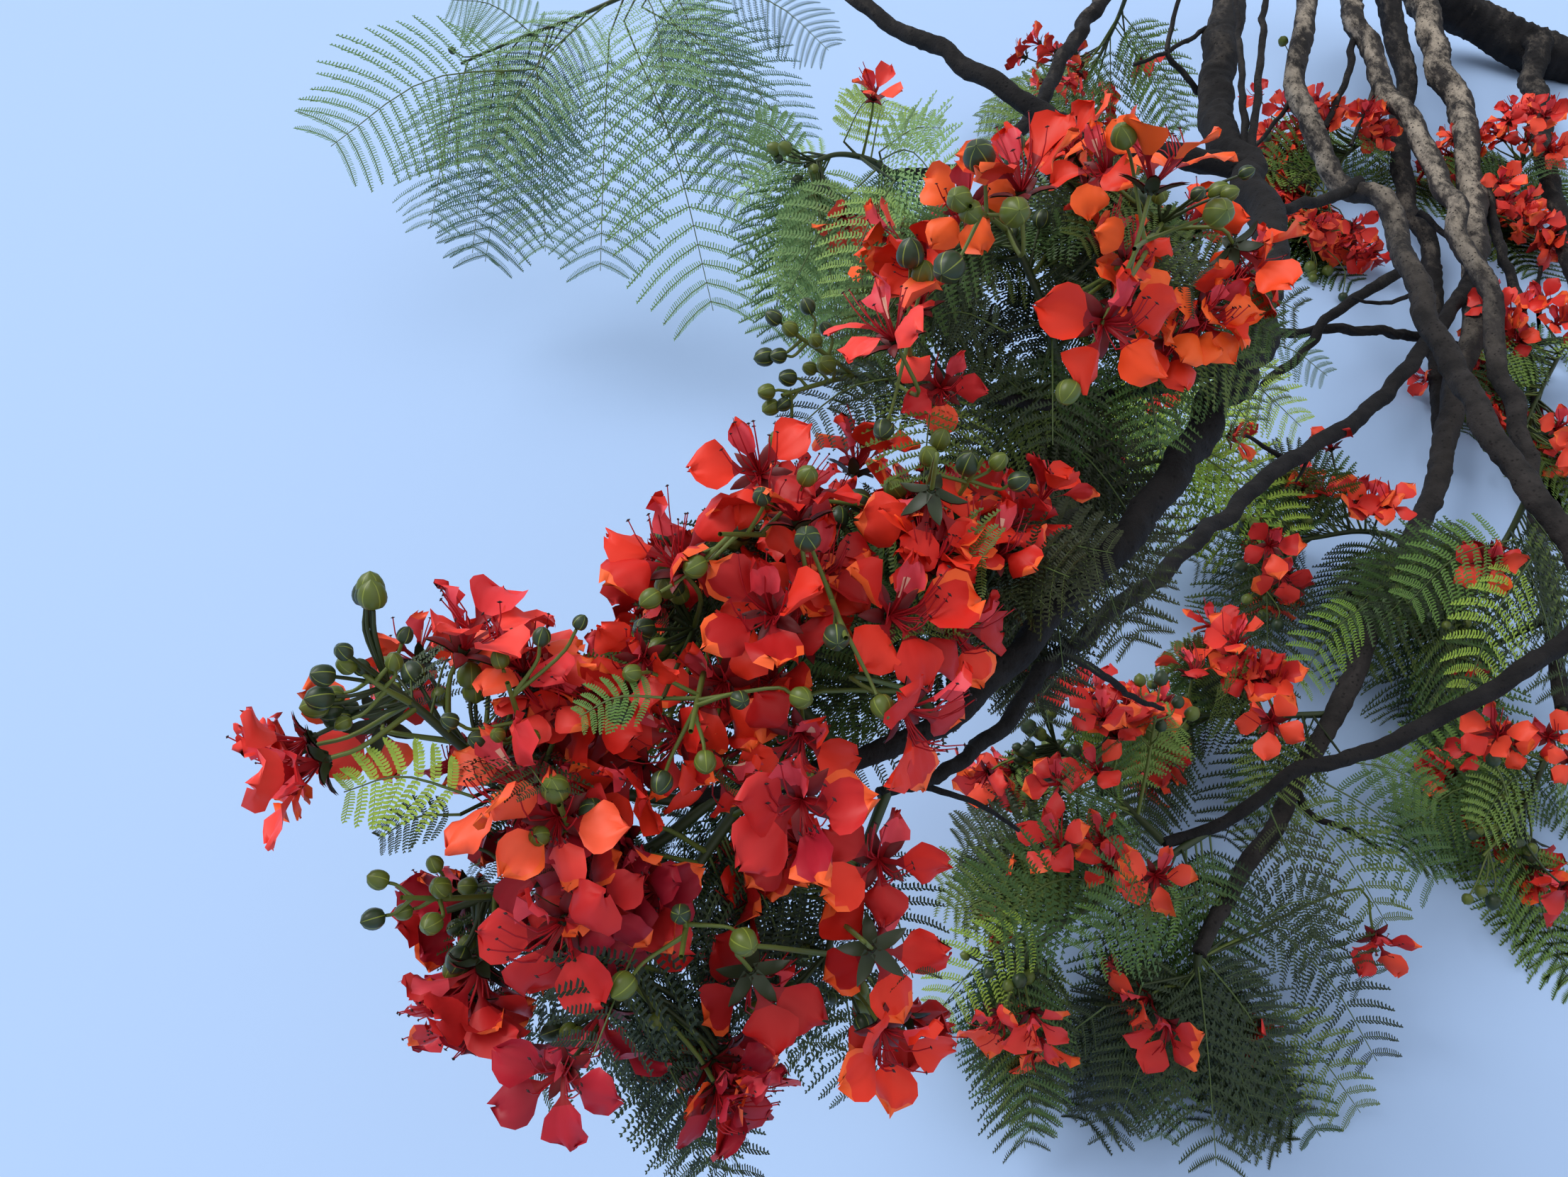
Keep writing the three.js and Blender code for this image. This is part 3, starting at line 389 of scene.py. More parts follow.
# Sprays of buds that stand clear of their heads: the mass whose stem carries the spray, how deep it
# is, how large its buds are, and where each one shows.
BUD_SPRAYS = [
    ("left_head", 742, 0.68, [(470, 982), (484, 1021), (509, 941), (556, 933), (572, 896)]),
    ("left_head", 735, 0.68, [(705, 930), (764, 898), (819, 878), (634, 1017), (673, 1044), (702, 1037),
        (751, 1040)]),
    ("middle_head", 715, 0.85, [(874, 1004), (891, 950), (1044, 988), (1131, 985), (995, 1076),
        (933, 1105)]),
    ("crest_head", 720, 0.85, [(1245, 998), (1180, 900), (1139, 760)]),
    ("crest_head", 745, 0.8, [(917, 845), (980, 800), (1075, 700), (1139, 671)]),
    ("lower_left_head", 742, 0.72, [(526, 1297), (533, 1241), (569, 1287), (608, 1304), (613, 1219),
        (621, 1252)]),
    ("lower_left_head", 725, 0.9, [(783, 1112), (835, 1144), (760, 1180)]),
    ("bottom_head", 735, 0.9, [(1050, 1330), (878, 1392), (960, 1290)]),
    ("upper_left_head", 920, 0.82, [(1078, 504), (1091, 448), (1098, 502), (1114, 464), (1139, 432),
        (1165, 464), (1150, 480)]),
    ("upper_left_head", 930, 0.8, [(1081, 553), (1087, 575), (1105, 571), (1111, 533), (1142, 520),
        (1165, 515), (1096, 620)]),
    ("upper_left_head", 860, 1.15, [(1246, 607), (1284, 357), (1302, 385)]),
    ("upper_crown_head", 800, 1.2, [(1338, 378), (1369, 299), (1381, 219), (1432, 299), (1353, 281)]),
    ("upper_right_head", 810, 1.1, [(1585, 191), (1506, 554), (1720, 300)]),
    ("shoulder_head", 820, 0.9, [(1310, 643), (1366, 653), (1409, 651), (1438, 679)]),
    ("lower_right_head", 1375, 1.0, [(1594, 999), (1607, 1020), (1608, 960), (1622, 1033), (1638, 957),
        (1638, 1024), (1662, 991), (1682, 1007)]),
    ("lower_right_head", 1370, 1.0, [(1450, 1120), (1451, 1145), (1483, 1138), (1482, 1095), (1502, 1076),
        (1516, 1060), (1555, 1114)]),
    ("right_middle_head", 1700, 1.0, [(1749, 800), (1759, 846), (1779, 833), (1782, 784), (1782, 868),
        (1788, 843), (1802, 882), (1813, 808)]),
    ("far_right_head", 1480, 1.0, [(2070, 1269), (2089, 1258), (2106, 1273), (2106, 1072), (2115, 1136)]),
    ("back_left_head", 2480, 1.2, [(1846, 397), (1848, 377), (1865, 485), (1872, 385), (1839, 424),
        (1787, 194), (1810, 58)]),
]

# Tints in sRGB. A leaf or a petal takes one from its mass's list of three. The greens are lit and
# shaded copies of the leaves' own green, dealt out by where each mass sits in the light: sunlit and
# lit are painted sunlight, shade and deep are painted shade, and mixed holds painted shade with
# middle and lighter greens. haze is a bluish painted shade and skylight, and fresh a plain middle
# green.
TINTS_A_LIST = 3
GREENS = {
    "sunlit": ["#93B040", "#769A38", "#567832"],
    "fresh": ["#54742E", "#39582A", "#688438"],
    "shade": ["#24361C", "#2F401B", "#1C2E24"],
    "mixed": ["#22321A", "#3C5A28", "#55692C"],
    "haze": ["#4E7668", "#335854", "#6E9662"],
    "lit": ["#7C9F62", "#648A56", "#8FAE5E"],
    # deep: painted deep shade, for leaves inside the bough.
    "deep": ["#20280F", "#2A3214", "#182010"],
}
REDS = {
    "scarlet": ["#CC2014", "#E0301A", "#B01616"],
    # crimson is darker and pinker, partly painted shade, for the blooms low down in the bough's shade.
    "crimson": ["#AE1A2C", "#961628", "#C22424"],
    "vermilion": ["#F04818", "#DA2E14", "#F86022"],
    "bright": ["#EE4238", "#E03236", "#F65A38"],
    "distant": ["#DC342A", "#EC4A30", "#C02420"],
}


def tints_of(lists, name):
    """Which finishes hold one list of tints, where the lists' finishes come in order."""
    start = TINTS_A_LIST * list(lists).index(name)
    return range(start, start + TINTS_A_LIST)


def seen(spot):
    """The point that the eye sees at this place in the picture, this deep, in millimetres."""
    across, down, deep = spot
    right = (across - PICTURE_WIDTH / 2) / FOCAL_PIXELS * deep
    above = (PICTURE_HEIGHT / 2 - down) / FOCAL_PIXELS * deep
    return EYE + ACROSS * right + UPWARD * above + FORWARD * deep


def in_clear(point, mass):
    """Whether a point shows outside the part of the picture that the mass fills."""
    span = point - EYE
    deep = span @ FORWARD
    across = PICTURE_WIDTH / 2 + (span @ ACROSS) / deep * FOCAL_PIXELS
    down = PICTURE_HEIGHT / 2 - (span @ UPWARD) / deep * FOCAL_PIXELS
    left, top, right, low = mass["fills"]
    return not (left < across < right and top < down < low)


def seeded(seed):
    """Numbers from 0 to 1 that are the same on every run, and the same as the solids draw: the
    steps and shifts are those of the mulberry32 generator."""
    word = 0xFFFFFFFF
    step = 0x6D2B79F5
    state = seed & word

    def draw():
        nonlocal state
        state = (state + step) & word
        mixed = ((state ^ (state >> 15)) * (state | 1)) & word
        mixed ^= (mixed + ((mixed ^ (mixed >> 7)) * (mixed | 61) & word)) & word
        return ((mixed ^ (mixed >> 14)) & word) / (word + 1)

    return draw


def unit(vector):
    """A vector, or each of a row of them, made one long."""
    return vector / (np.linalg.norm(vector, axis=-1, keepdims=True) + 1e-12)


class Curve:
    """A smooth curve through points, the same curve as the solids follow."""

    LENGTH_STEPS = 200

    def __init__(self, points):
        points = np.array(points, float)
        ends = [2 * points[0] - points[1]], [2 * points[-1] - points[-2]]
        self.points = np.concatenate([ends[0], points, ends[1]])
        self.spans = len(points) - 1

    def _parts(self, share):
        place = np.clip(np.asarray(share, float), 0, 1) * self.spans
        span = np.minimum(place.astype(int), self.spans - 1)
        before, start, end, after = (self.points[span + i] for i in range(4))
        lead = 0.5 * (end - before)
        trail = 0.5 * (after - start)
        square = 3 * (end - start) - 2 * lead - trail
        cube = 2 * (start - end) + lead + trail
        return (place - span)[..., None], start, lead, square, cube

    def at(self, share):
        w, start, lead, square, cube = self._parts(share)
        return start + w * (lead + w * (square + w * cube))

    def heading(self, share):
        w, _, lead, square, cube = self._parts(share)
        return unit(lead + w * (2 * square + 3 * w * cube))

    def length(self):
        steps = np.diff(self.at(np.linspace(0, 1, self.LENGTH_STEPS)), axis=0)
        return np.linalg.norm(steps, axis=1).sum()


class Heap:
    """Triangles of one kind, gathered and then made into one mesh."""

    def __init__(self):
        self.points = []
        self.faces = []
        self.finishes = []
        self.count = 0

    def add(self, points, faces, finish):
        """More triangles. finish is one number for them all, or a number for each."""
        points = points.reshape(-1, 3)
        self.points.append(points)
        self.faces.append(faces + self.count)
        self.finishes.append(np.full(len(faces), finish) if np.isscalar(finish) else finish)
        self.count += len(points)

    def make(self, name, materials, slot, nodes=()):
        """One smooth mesh of all the triangles, kept above the ground: a piece of the part, in
        place of the solids that it stands for."""
        points = np.concatenate(self.points)
        points[:, 2] = np.maximum(points[:, 2], GROUND_CLEARANCE)
        faces = np.concatenate(self.faces).astype(np.int32)
        mesh = bpy.data.meshes.new(name)
        mesh.vertices.add(len(points))
        mesh.vertices.foreach_set("co", (points * MM).astype(np.float32).ravel())
        mesh.loops.add(faces.size)
        mesh.loops.foreach_set("vertex_index", faces.ravel())
        mesh.polygons.add(len(faces))
        mesh.polygons.foreach_set("loop_start", np.arange(0, faces.size, 3, dtype=np.int32))
        for material in materials:
            mesh.materials.append(material)
        mesh.polygons.foreach_set("material_index", np.concatenate(self.finishes).astype(np.int32))
        mesh.update(calc_edges=True)
        mesh.shade_smooth()
        piece = bpy.data.objects.new(name, mesh)
        bpy.context.scene.collection.objects.link(piece)
        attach(piece, "root")
        if nodes:
            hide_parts(*nodes)


def grid_faces(rows, columns, closed=False):
    """The triangles of a grid of points. A closed grid joins its last column to its first."""
    spans = columns if closed else columns - 1
    row, column = np.meshgrid(np.arange(rows - 1), np.arange(spans), indexing="ij")
    after = (column + 1) % columns
    a, b = row * columns + column, row * columns + after
    c, d = (row + 1) * columns + after, (row + 1) * columns + column
    return np.concatenate([np.stack([a, b, c], -1), np.stack([a, c, d], -1)]).reshape(-1, 3)


def around(sides):
    """Angles evenly round a turn."""
    return np.arange(sides) / sides * FULL_TURN


def frames_along(headings):
    """Normals that never twist along a line of headings, walked back from its end."""
    normals = np.zeros_like(headings)
    normal = ACROSS if abs(headings[-1][0]) < NEARLY_ALONG else UPWARD
    for i in reversed(range(len(headings))):
        normal = unit(normal - headings[i] * np.dot(normal, headings[i]))
        normals[i] = normal
    return normals, np.cross(headings, normals)


def tube_points(middles, headings, radii, sides):
    """Rings round a line. radii holds one number a ring, or one for each point of each ring."""
    normals, binormals = frames_along(headings)
    angles = around(sides)[None, :, None]
    radii = np.asarray(radii, float)
    radii = radii[:, None] if radii.ndim == 1 else radii
    out = normals[:, None] * np.cos(angles) + binormals[:, None] * np.sin(angles)
    return middles[:, None] + out * radii[..., None]


def add_tube(heap, curve, radii, sides, finish):
    """A tube round a curve, with a ring for each of its radii."""
    shares = np.linspace(0, 1, len(radii))
    rings = tube_points(curve.at(shares), curve.heading(shares), radii, sides)
    heap.add(rings, grid_faces(len(radii), sides, closed=True), finish)


def square_to(axis):
    """Two directions square to an axis. The first is the nearer to the top of the picture."""
    first = UPWARD - axis * np.dot(UPWARD, axis)
    if np.linalg.norm(first) < NEARLY_NOTHING:
        first = ACROSS - axis * np.dot(ACROSS, axis)
    first = unit(first)
    return first, np.cross(axis, first)


def facing(bearing, lean):
    """The way that a thing faces when it leans so many degrees from the eye on this bearing."""
    turn, away = math.radians(bearing), math.radians(lean)
    return (TO_EYE * math.cos(away) + ACROSS * math.sin(away) * math.cos(turn)
            + UPWARD * math.sin(away) * math.sin(turn))


# Materials.

def linear(colour):
    """A hex sRGB colour as linear red, green, blue and alpha, by the sRGB curve."""
    channels = [int(colour[i:i + 2], 16) / 255 for i in (1, 3, 5)]
    return [c / 12.92 if c <= 0.04045 else ((c + 0.055) / 1.055) ** 2.4 for c in channels] + [1]


def per_metre(millimetres):
    """A pattern's scale for features of this size."""
    return 1000 / millimetres


def node(tree, kind, settings=None, values=None, links=None):
    """Adds a node to a tree, with its settings, its sockets' values and its links."""
    added = tree.nodes.new(kind)
    for name, value in (settings or {}).items():
        setattr(added, name, value)
    for name, value in (values or {}).items():
        added.inputs[name].default_value = value
    for name, source in (links or {}).items():
        tree.links.new(source, added.inputs[name])
    return added


def surface(name, colour=None, **values):
    """A new material that starts from the shader's typical values, with these of its own."""
    material = bpy.data.materials.new(name)
    material.use_nodes = True
    shader = material.node_tree.nodes["Principled BSDF"]
    if colour:
        shader.inputs["Base Color"].default_value = linear(colour)
    for key, value in values.items():
        shader.inputs[key.replace("_", " ")].default_value = value
    return material


def fresh_petal(name, colour):
    """A fresh petal, grown thin and silky: a soft shine on its folds and no hard highlight."""
    return surface(name, colour, Roughness=0.5, Specular_IOR_Level=0.3)


def leaflet_skin(name, colour):
    """A leaflet, grown with a thin wax over green: nearly matt, with a faint grey shine at a slant."""
    return surface(name, colour, Roughness=0.55, Specular_IOR_Level=0.35)


def green_skin(name, colour, roughness=0.5):
    """Stalk, bud or sepal skin, grown smooth and slightly waxy: a broad soft highlight."""
    return surface(name, colour, Roughness=roughness, Specular_IOR_Level=0.4)


# The bark's patterns, from the sizes of its blotches, lichen, pores and grain. The lichen is drawn
# out into streaks, and its pale is painted highlight as well: it favours the side towards the sun.
# The boughs pale along Y, from SUNLIT_FROM to SUNLIT_BY, towards their thick ends, which is painted
# sunlight. Those two and the heights are in metres.
BLOTCH_MM = 55
BLOTCH_EDGES = (0.36, 0.62)
LICHEN_MM = 34
STREAK = (1, 0.38, 1)
SUNWARD = (-0.62, 0.28, 0.73)
SUNWARD_SHARE = 0.16
PALE_EDGE_SOFTNESS = 0.26
SUNLIT_FROM = -0.25
SUNLIT_BY = 0.5
PORE_MM = 9
PORE_EDGES = (0.12, 0.26)
GRAIN_MM = 4
GRAIN_HEIGHT = 0.003
LUMP_HEIGHT = 0.006
PORE_HEIGHT = 0.002

# A maths node's sockets and a colour mix's go by number.
FIRST, SECOND, THIRD = range(3)
MIX_SHARE, MIX_UNDER, MIX_OVER = 0, 6, 7
MIXED = 2


def bark(name, dark, mid, pale, pale_from):
    """Bark, grown as a thin grey-brown skin, with blotches and pale lichen. It is matt and rough,
    dotted with small raised pores. Its pale streaks are painted highlight as well as lichen: they
    gather along the side that faces the sun, and most of all towards the boughs' thick ends, as
    painted sunlight. The grain is under a millimetre in life, and is drawn coarser so that it
    shows."""
    material = surface(name, Roughness=0.9, Specular_IOR_Level=0.25)
    tree = material.node_tree
    place = node(tree, "ShaderNodeTexCoord").outputs["Object"]
    blotch = node(tree, "ShaderNodeTexNoise", None,
                  {"Scale": per_metre(BLOTCH_MM), "Detail": 5, "Roughness": 0.65}, {"Vector": place})
    tint = node(tree, "ShaderNodeValToRGB", links={"Fac": blotch.outputs["Fac"]})
    for stop, position, colour in zip(tint.color_ramp.elements, BLOTCH_EDGES, (dark, mid)):
        stop.position = position
        stop.color = linear(colour)
    streaked = node(tree, "ShaderNodeMapping", None, {"Scale": STREAK}, {"Vector": place})
    lichen = node(tree, "ShaderNodeTexNoise", None,
                  {"Scale": per_metre(LICHEN_MM), "Detail": 6, "Roughness": 0.75},
                  {"Vector": streaked.outputs["Vector"]})
    # Painted highlight: the side whose normal faces the sun is lifted towards the pale tone.
    facing_sun = node(tree, "ShaderNodeVectorMath", {"operation": "DOT_PRODUCT"}, {SECOND: SUNWARD},
                      {FIRST: node(tree, "ShaderNodeNewGeometry").outputs["Normal"]})
    lichen_and_sun_side = node(tree, "ShaderNodeMath", {"operation": "MULTIPLY_ADD"}, {SECOND: SUNWARD_SHARE},
                     {FIRST: facing_sun.outputs["Value"], THIRD: lichen.outputs["Fac"]})
    pale_lichen_and_highlight = node(tree, "ShaderNodeMapRange", {"interpolation_type": "SMOOTHSTEP"},
                    {"From Min": pale_from, "From Max": pale_from + PALE_EDGE_SOFTNESS},
                    {"Value": lichen_and_sun_side.outputs["Value"]})
    apart = node(tree, "ShaderNodeSeparateXYZ", links={"Vector": place})
    # Painted sunlight: the pale streaks grow along Y, towards the boughs' thick ends.
    sunlit = node(tree, "ShaderNodeMapRange", {"interpolation_type": "SMOOTHSTEP"},
                  {"From Min": SUNLIT_FROM, "From Max": SUNLIT_BY}, {"Value": apart.outputs["Y"]})
    lichen_and_painted_sunlight = node(tree, "ShaderNodeMath", {"operation": "MULTIPLY"},
                 links={FIRST: pale_lichen_and_highlight.outputs["Result"], SECOND: sunlit.outputs["Result"]})
    patched = node(tree, "ShaderNodeMix", {"data_type": "RGBA"}, {MIX_OVER: linear(pale)},
                   {MIX_SHARE: lichen_and_painted_sunlight.outputs["Value"], MIX_UNDER: tint.outputs["Color"]})
    pores = node(tree, "ShaderNodeTexVoronoi", None, {"Scale": per_metre(PORE_MM)}, {"Vector": place})
    pore = node(tree, "ShaderNodeMapRange", None,
                {"From Min": PORE_EDGES[0], "From Max": PORE_EDGES[1], "To Min": 1, "To Max": 0},
                {"Value": pores.outputs["Distance"]})
    dotted = node(tree, "ShaderNodeMix", {"data_type": "RGBA"}, {MIX_OVER: linear(dark)},
                  {MIX_SHARE: pore.outputs["Result"], MIX_UNDER: patched.outputs[MIXED]})
    grain = node(tree, "ShaderNodeTexNoise", None,
                 {"Scale": per_metre(GRAIN_MM), "Detail": 4, "Roughness": 0.7}, {"Vector": place})
    rough = node(tree, "ShaderNodeBump", None, {"Strength": 0.7, "Distance": GRAIN_HEIGHT},
                 {"Height": grain.outputs["Fac"]})
    lumpy = node(tree, "ShaderNodeBump", None, {"Strength": 0.6, "Distance": LUMP_HEIGHT},
                 {"Height": lichen.outputs["Fac"], "Normal": rough.outputs["Normal"]})
    raised = node(tree, "ShaderNodeBump", None, {"Strength": 0.5, "Distance": PORE_HEIGHT},
                  {"Height": pore.outputs["Result"], "Normal": lumpy.outputs["Normal"]})
    shader = tree.nodes["Principled BSDF"]
    tree.links.new(dotted.outputs[MIXED], shader.inputs["Base Color"])
    tree.links.new(raised.outputs["Normal"], shader.inputs["Normal"])
    return material


def tinted(kind, family, lists):
    """A material for each tint of each list, in the order that tints_of counts them in."""
    return [kind("%s_%s_%d" % (family, name, number + 1), tint)
            for name, tints in lists.items() for number, tint in enumerate(tints)]


# The two barks are shaded and sunlit copies: the dark one is partly painted shade, and the pale one, on
# PALE_LIMBS, partly painted sunlight, with a lighter tone and more pale streaks.
BARK_DARK_AND_SHADED = bark("bark_dark_and_shaded", "#100F11", "#201E1F", "#5A534C", pale_from=0.6)
BARK_PALE_AND_SUNLIT = bark("bark_pale_and_sunlit", "#1D1B1B", "#353130", "#A69A8B", pale_from=0.53)
CUT_WOOD = green_skin("cut_wood", "#C9AC7C", roughness=0.75)

BLOOM_MATERIALS = tinted(fresh_petal, "petal", REDS) + [
    # The orange rim is painted glow of light through a petal's thin edge.
    fresh_petal("petal_rim_orange_painted_glow", "#F2602A"),
    # The deep red claw is partly painted shade, where it lies in the bloom's heart.
    fresh_petal("petal_claw_deep_red_and_painted_shade", "#8E0E16"),
    fresh_petal("petal_standard_pink_red", "#DE4450"),
    fresh_petal("petal_standard_streak", "#F0B8A0"),
    green_skin("sepal_outer_green", "#26301A"),
    green_skin("sepal_inner_red", "#6E1014"),
    fresh_petal("stamen_filament_red", "#A81420"),
    green_skin("anther_maroon", "#2E0C0E", roughness=0.7),
]
(GLOW_RIM, DEEP_CLAW_AND_SHADE, STANDARD, STREAKED, SEPAL_OUTSIDE, SEPAL_INSIDE, FILAMENT, ANTHER) = range(
    TINTS_A_LIST * len(REDS), len(BLOOM_MATERIALS))

LEAF_MATERIALS = tinted(leaflet_skin, "leaflet", GREENS) + [green_skin("leaf_rib_green", "#4C5E2C")]
RIB = TINTS_A_LIST * len(GREENS)

STALK_MATERIALS = [
    green_skin("stalk_green", "#5C6A2C"),
    green_skin("stalk_dark_green", "#2E3A1C"),
    green_skin("bud_olive", "#566324", roughness=0.42),
    green_skin("bud_deep_green", "#2A3A22", roughness=0.42),
    green_skin("bud_seam_yellow_green", "#7C8834", roughness=0.42),
]
STALK_GREEN, STALK_DARK, BUD_OLIVE, BUD_DEEP, BUD_SEAM = range(len(STALK_MATERIALS))
STALK_SKINS = (STALK_GREEN, STALK_DARK)
BUD_SKINS = (BUD_OLIVE, BUD_DEEP)


# Limbs. Heights of the relief are shares of the limb's radius. A bump of either kind comes once
# in so many millimetres, keeps to these shares of the limb, and draws its reach and its height
# from ranges. A pimple's reach is in millimetres and a knot's in radii. The bare limb is
# BARE_SHARE of the solid's radius, so that its relief stays near the solid's skin.
PIMPLES = dict(every=22, along=(0, 1), reaches=(5, 10), heights=(0.02, 0.07))
KNOTS = dict(every=210, along=(0.04, 0.96), reaches=(0.4, 0.8), heights=(0.1, 0.3))
MOST_TURNS = 5
MOST_PHASE = 7
SHORT_WAVES_LOWER = 0.6
BARE_SHARE = 0.92
COLLAR_RADII = 1.3
FEWEST_RINGS = 6
LIMB_PITCH = 8
THIN_LIMB_PITCH = 9


def waves_over(shape, angles, run, random, count, shortest, longest, height):
    """Swells and dents over a skin: many waves that run round it and along it."""
    relief = np.zeros(shape)
    for _ in range(count):
        turns = random.integers(-MOST_TURNS, MOST_TURNS + 1)
        pitch = math.exp(random.uniform(math.log(shortest), math.log(longest)))
        high = height * (pitch / longest) ** SHORT_WAVES_LOWER
        phase = random.uniform(0, MOST_PHASE)
        relief += high * np.sin(turns * angles + run / pitch * FULL_TURN + phase)
    return relief


def raise_bumps(relief, length, angles, run, taper, random, reach_unit, every, along, reaches, heights):
    """Adds round bumps, scattered over a limb, to its relief."""
    for _ in range(int(length / every)):
        middle, side = random.uniform(*along) * length, random.uniform(0, FULL_TURN)
        reach, height = reach_unit * random.uniform(*reaches), random.uniform(*heights)
        arc = np.abs((angles - side + math.pi) % FULL_TURN - math.pi) * taper[:, None]
        relief += height * np.exp(-((run - middle) ** 2 + arc ** 2) / reach ** 2)


def limb_mesh(heap, route, radii, sides, pitch, seed, collar):
    """A limb: its route's kinks, swellings, pimples and knots raised in rings along it, a collar
    where it leaves another, and a lid on each end."""
    curve = Curve([seen(spot) for spot in route])
    length = curve.length()
    rings = max(FEWEST_RINGS, int(length / pitch))
    shares = np.linspace(0, 1, rings)
    middles, headings = curve.at(shares), curve.heading(shares)
    random = np.random.default_rng(seed)
    taper = radii[0] + (radii[1] - radii[0]) * shares
    run = (shares * length)[:, None]
    held = np.clip(np.sin(math.pi * shares), 0, 1)[:, None] ** 0.5
    span = taper.mean()
    for way in frames_along(headings):
        sway = waves_over((rings, 1), 0, run, random, count=8, shortest=7 * span, longest=26 * span,
                          height=0.16)
        middles = middles + way * sway * taper[:, None] * held
    angles = around(sides)[None]
    relief = waves_over((rings, sides), angles, run, random, count=14, shortest=3 * span,
                        longest=14 * span, height=0.03)
    relief += waves_over((rings, sides), angles, run, random, count=20, shortest=2.6 * pitch,
                         longest=45, height=0.011)
    raise_bumps(relief, length, angles, run, taper, random, 1, **PIMPLES)
    raise_bumps(relief, length, angles, run, taper, random, span, **KNOTS)
    swell = 1 + collar * np.exp(-shares * length / (taper[0] * COLLAR_RADII))
    thick = taper[:, None] * (1 + relief) * BARE_SHARE * swell[:, None]
    points = tube_points(middles, headings, thick, sides)
    heap.add(points, grid_faces(rings, sides, closed=True), 0)
    corners = np.arange(sides)
    lid = np.stack([(corners + 1) % sides, corners, np.full(sides, sides)], -1)
    for ring, faces, finish in ((points[0], lid, 1), (points[-1], lid[:, ::-1], 0)):
        heap.add(np.concatenate([ring, ring.mean(0, keepdims=True)]), faces, finish)


def make_limb(number, name):
    """One limb of the bough. The first is the thick one that was cut: it has no collar, and its
    sawn end is bare wood."""
    route, radii = LIMBS[name]
    cut = number == 0
    skin = BARK_PALE_AND_SUNLIT if name in PALE_LIMBS else BARK_DARK_AND_SHADED
    heap = Heap()
    limb_mesh(heap, route, radii, sides=30 if cut else 24, pitch=LIMB_PITCH, seed=LIMB_SEEDS + number,
              collar=0 if cut else 0.25)
    heap.make(name + "_bark", [skin, CUT_WOOD if cut else skin], "bark", [name])


# Leaves. A leaflet is as long as LEAFLET_LENGTH of the gap between two pinnae, and as wide as
# LEAFLET_WIDTH of the gap between two leaflets. The pinnae's sizes are shares of the leaf's
# length, and the radii of the leaf's own rib are in millimetres.
LEAFLET_LENGTH = 0.44
LEAFLET_WIDTH = 0.72
BARE_RIB = 0.1
WIDEST_GAP = 0.075
PINNA_REACH = 0.33
PINNA_SWEEP = 0.42
PINNA_DROOP = 0.16
VEIN_HALF_WIDTH = 0.0024

# What one pinna differs from the next by: its reach as a share, then what is added to its sweep
# and its droop, its lift, and how far each leaflet dips as a share of its length.
PINNA_REACHES = (0.9, 1.06)
PINNA_SWEEPS = (-0.09, 0.09)
PINNA_DROOPS = (-0.08, 0.1)
PINNA_LIFTS = (-0.06, 0.06)
LEAFLET_DIPS = (-0.15, 0.35)

RIB_HANG = 0.22
RIB_RADII = (1.6, 0.6)
RIB_RINGS = 8


def leaf_pattern(pairs, leaflets, vein_steps, seed, slim=1, pointed=False):
    """A twice-feathered leaf in its own terms, so that one pattern bends to any rib. Each point
    holds its share up the rib, then its forward, sideways, face-on and hanging offsets as shares
    of the leaf's length. The leaflets' sizes are times slim. A pointed leaflet has three corners,
    for leaves far enough off that the fourth wouldn't show."""
    random = np.random.default_rng(seed)
    rows, faces, kinds = [], [], []
    count = 0
    feathered = 1 - BARE_RIB

    def keep(points, triangles, kind):
        nonlocal count
        rows.append(points.reshape(-1, 5))
        faces.append(triangles + count)
        kinds.append(np.full(len(triangles), kind))
        count += len(rows[-1])

    for i in range(pairs):
        share = BARE_RIB + feathered * (i + 0.5) / pairs
        for hand in (-1, 1):
            full = math.sin(math.pi * (0.16 + 0.74 * share)) ** 0.8
            reach = random.uniform(*PINNA_REACHES) * PINNA_REACH * full
            sweep = PINNA_SWEEP + random.uniform(*PINNA_SWEEPS)
            droop = PINNA_DROOP + random.uniform(*PINNA_DROOPS)
            lift = random.uniform(*PINNA_LIFTS)

            def on_pinna(q):
                return np.stack([np.full_like(q, share), reach * sweep * q * (0.7 + 0.3 * q),
                                 hand * reach * q, lift * reach * q, droop * reach * q * q], -1)

            vein = on_pinna(np.linspace(0, 1, vein_steps + 1))
            wide = np.zeros_like(vein)
            wide[:, 1] = VEIN_HALF_WIDTH
            keep(np.stack([vein - wide, vein + wide], 1), grid_faces(vein_steps + 1, 2), True)
            q = (np.arange(leaflets) + 0.7) / leaflets
            foot = on_pinna(q)
            size = slim * LEAFLET_LENGTH * min(feathered / pairs, WIDEST_GAP)
            size = size * (1 - 0.5 * np.abs(2 * q - 0.9) ** 3.5)
            half_width = slim * LEAFLET_WIDTH * reach / leaflets / 2
            for way in (-1, 1):
                dip = random.uniform(*LEAFLET_DIPS, leaflets) * size
                tip = foot + np.stack([0 * q, way * 0.94 * size, hand * 0.34 * size, dip, 0 * q], -1)
                broad = np.array([0, 0.2 * way * half_width, hand * half_width, 0, 0])
                corners = [foot - 0.7 * broad, tip - broad, tip + 0.75 * broad, foot + 0.9 * broad]
                turns = [[0, 1, 2], [0, 2, 3]]
                if pointed:
                    corners = [foot - 1.4 * broad, tip + 0.2 * broad, foot + 1.5 * broad]
                    turns = [[0, 1, 2]]
                starts = len(corners) * np.arange(leaflets)[:, None]
                keep(np.stack(corners, 1), np.concatenate([starts + turn for turn in turns]), False)
    return np.concatenate(rows), np.concatenate(faces), np.concatenate(kinds)


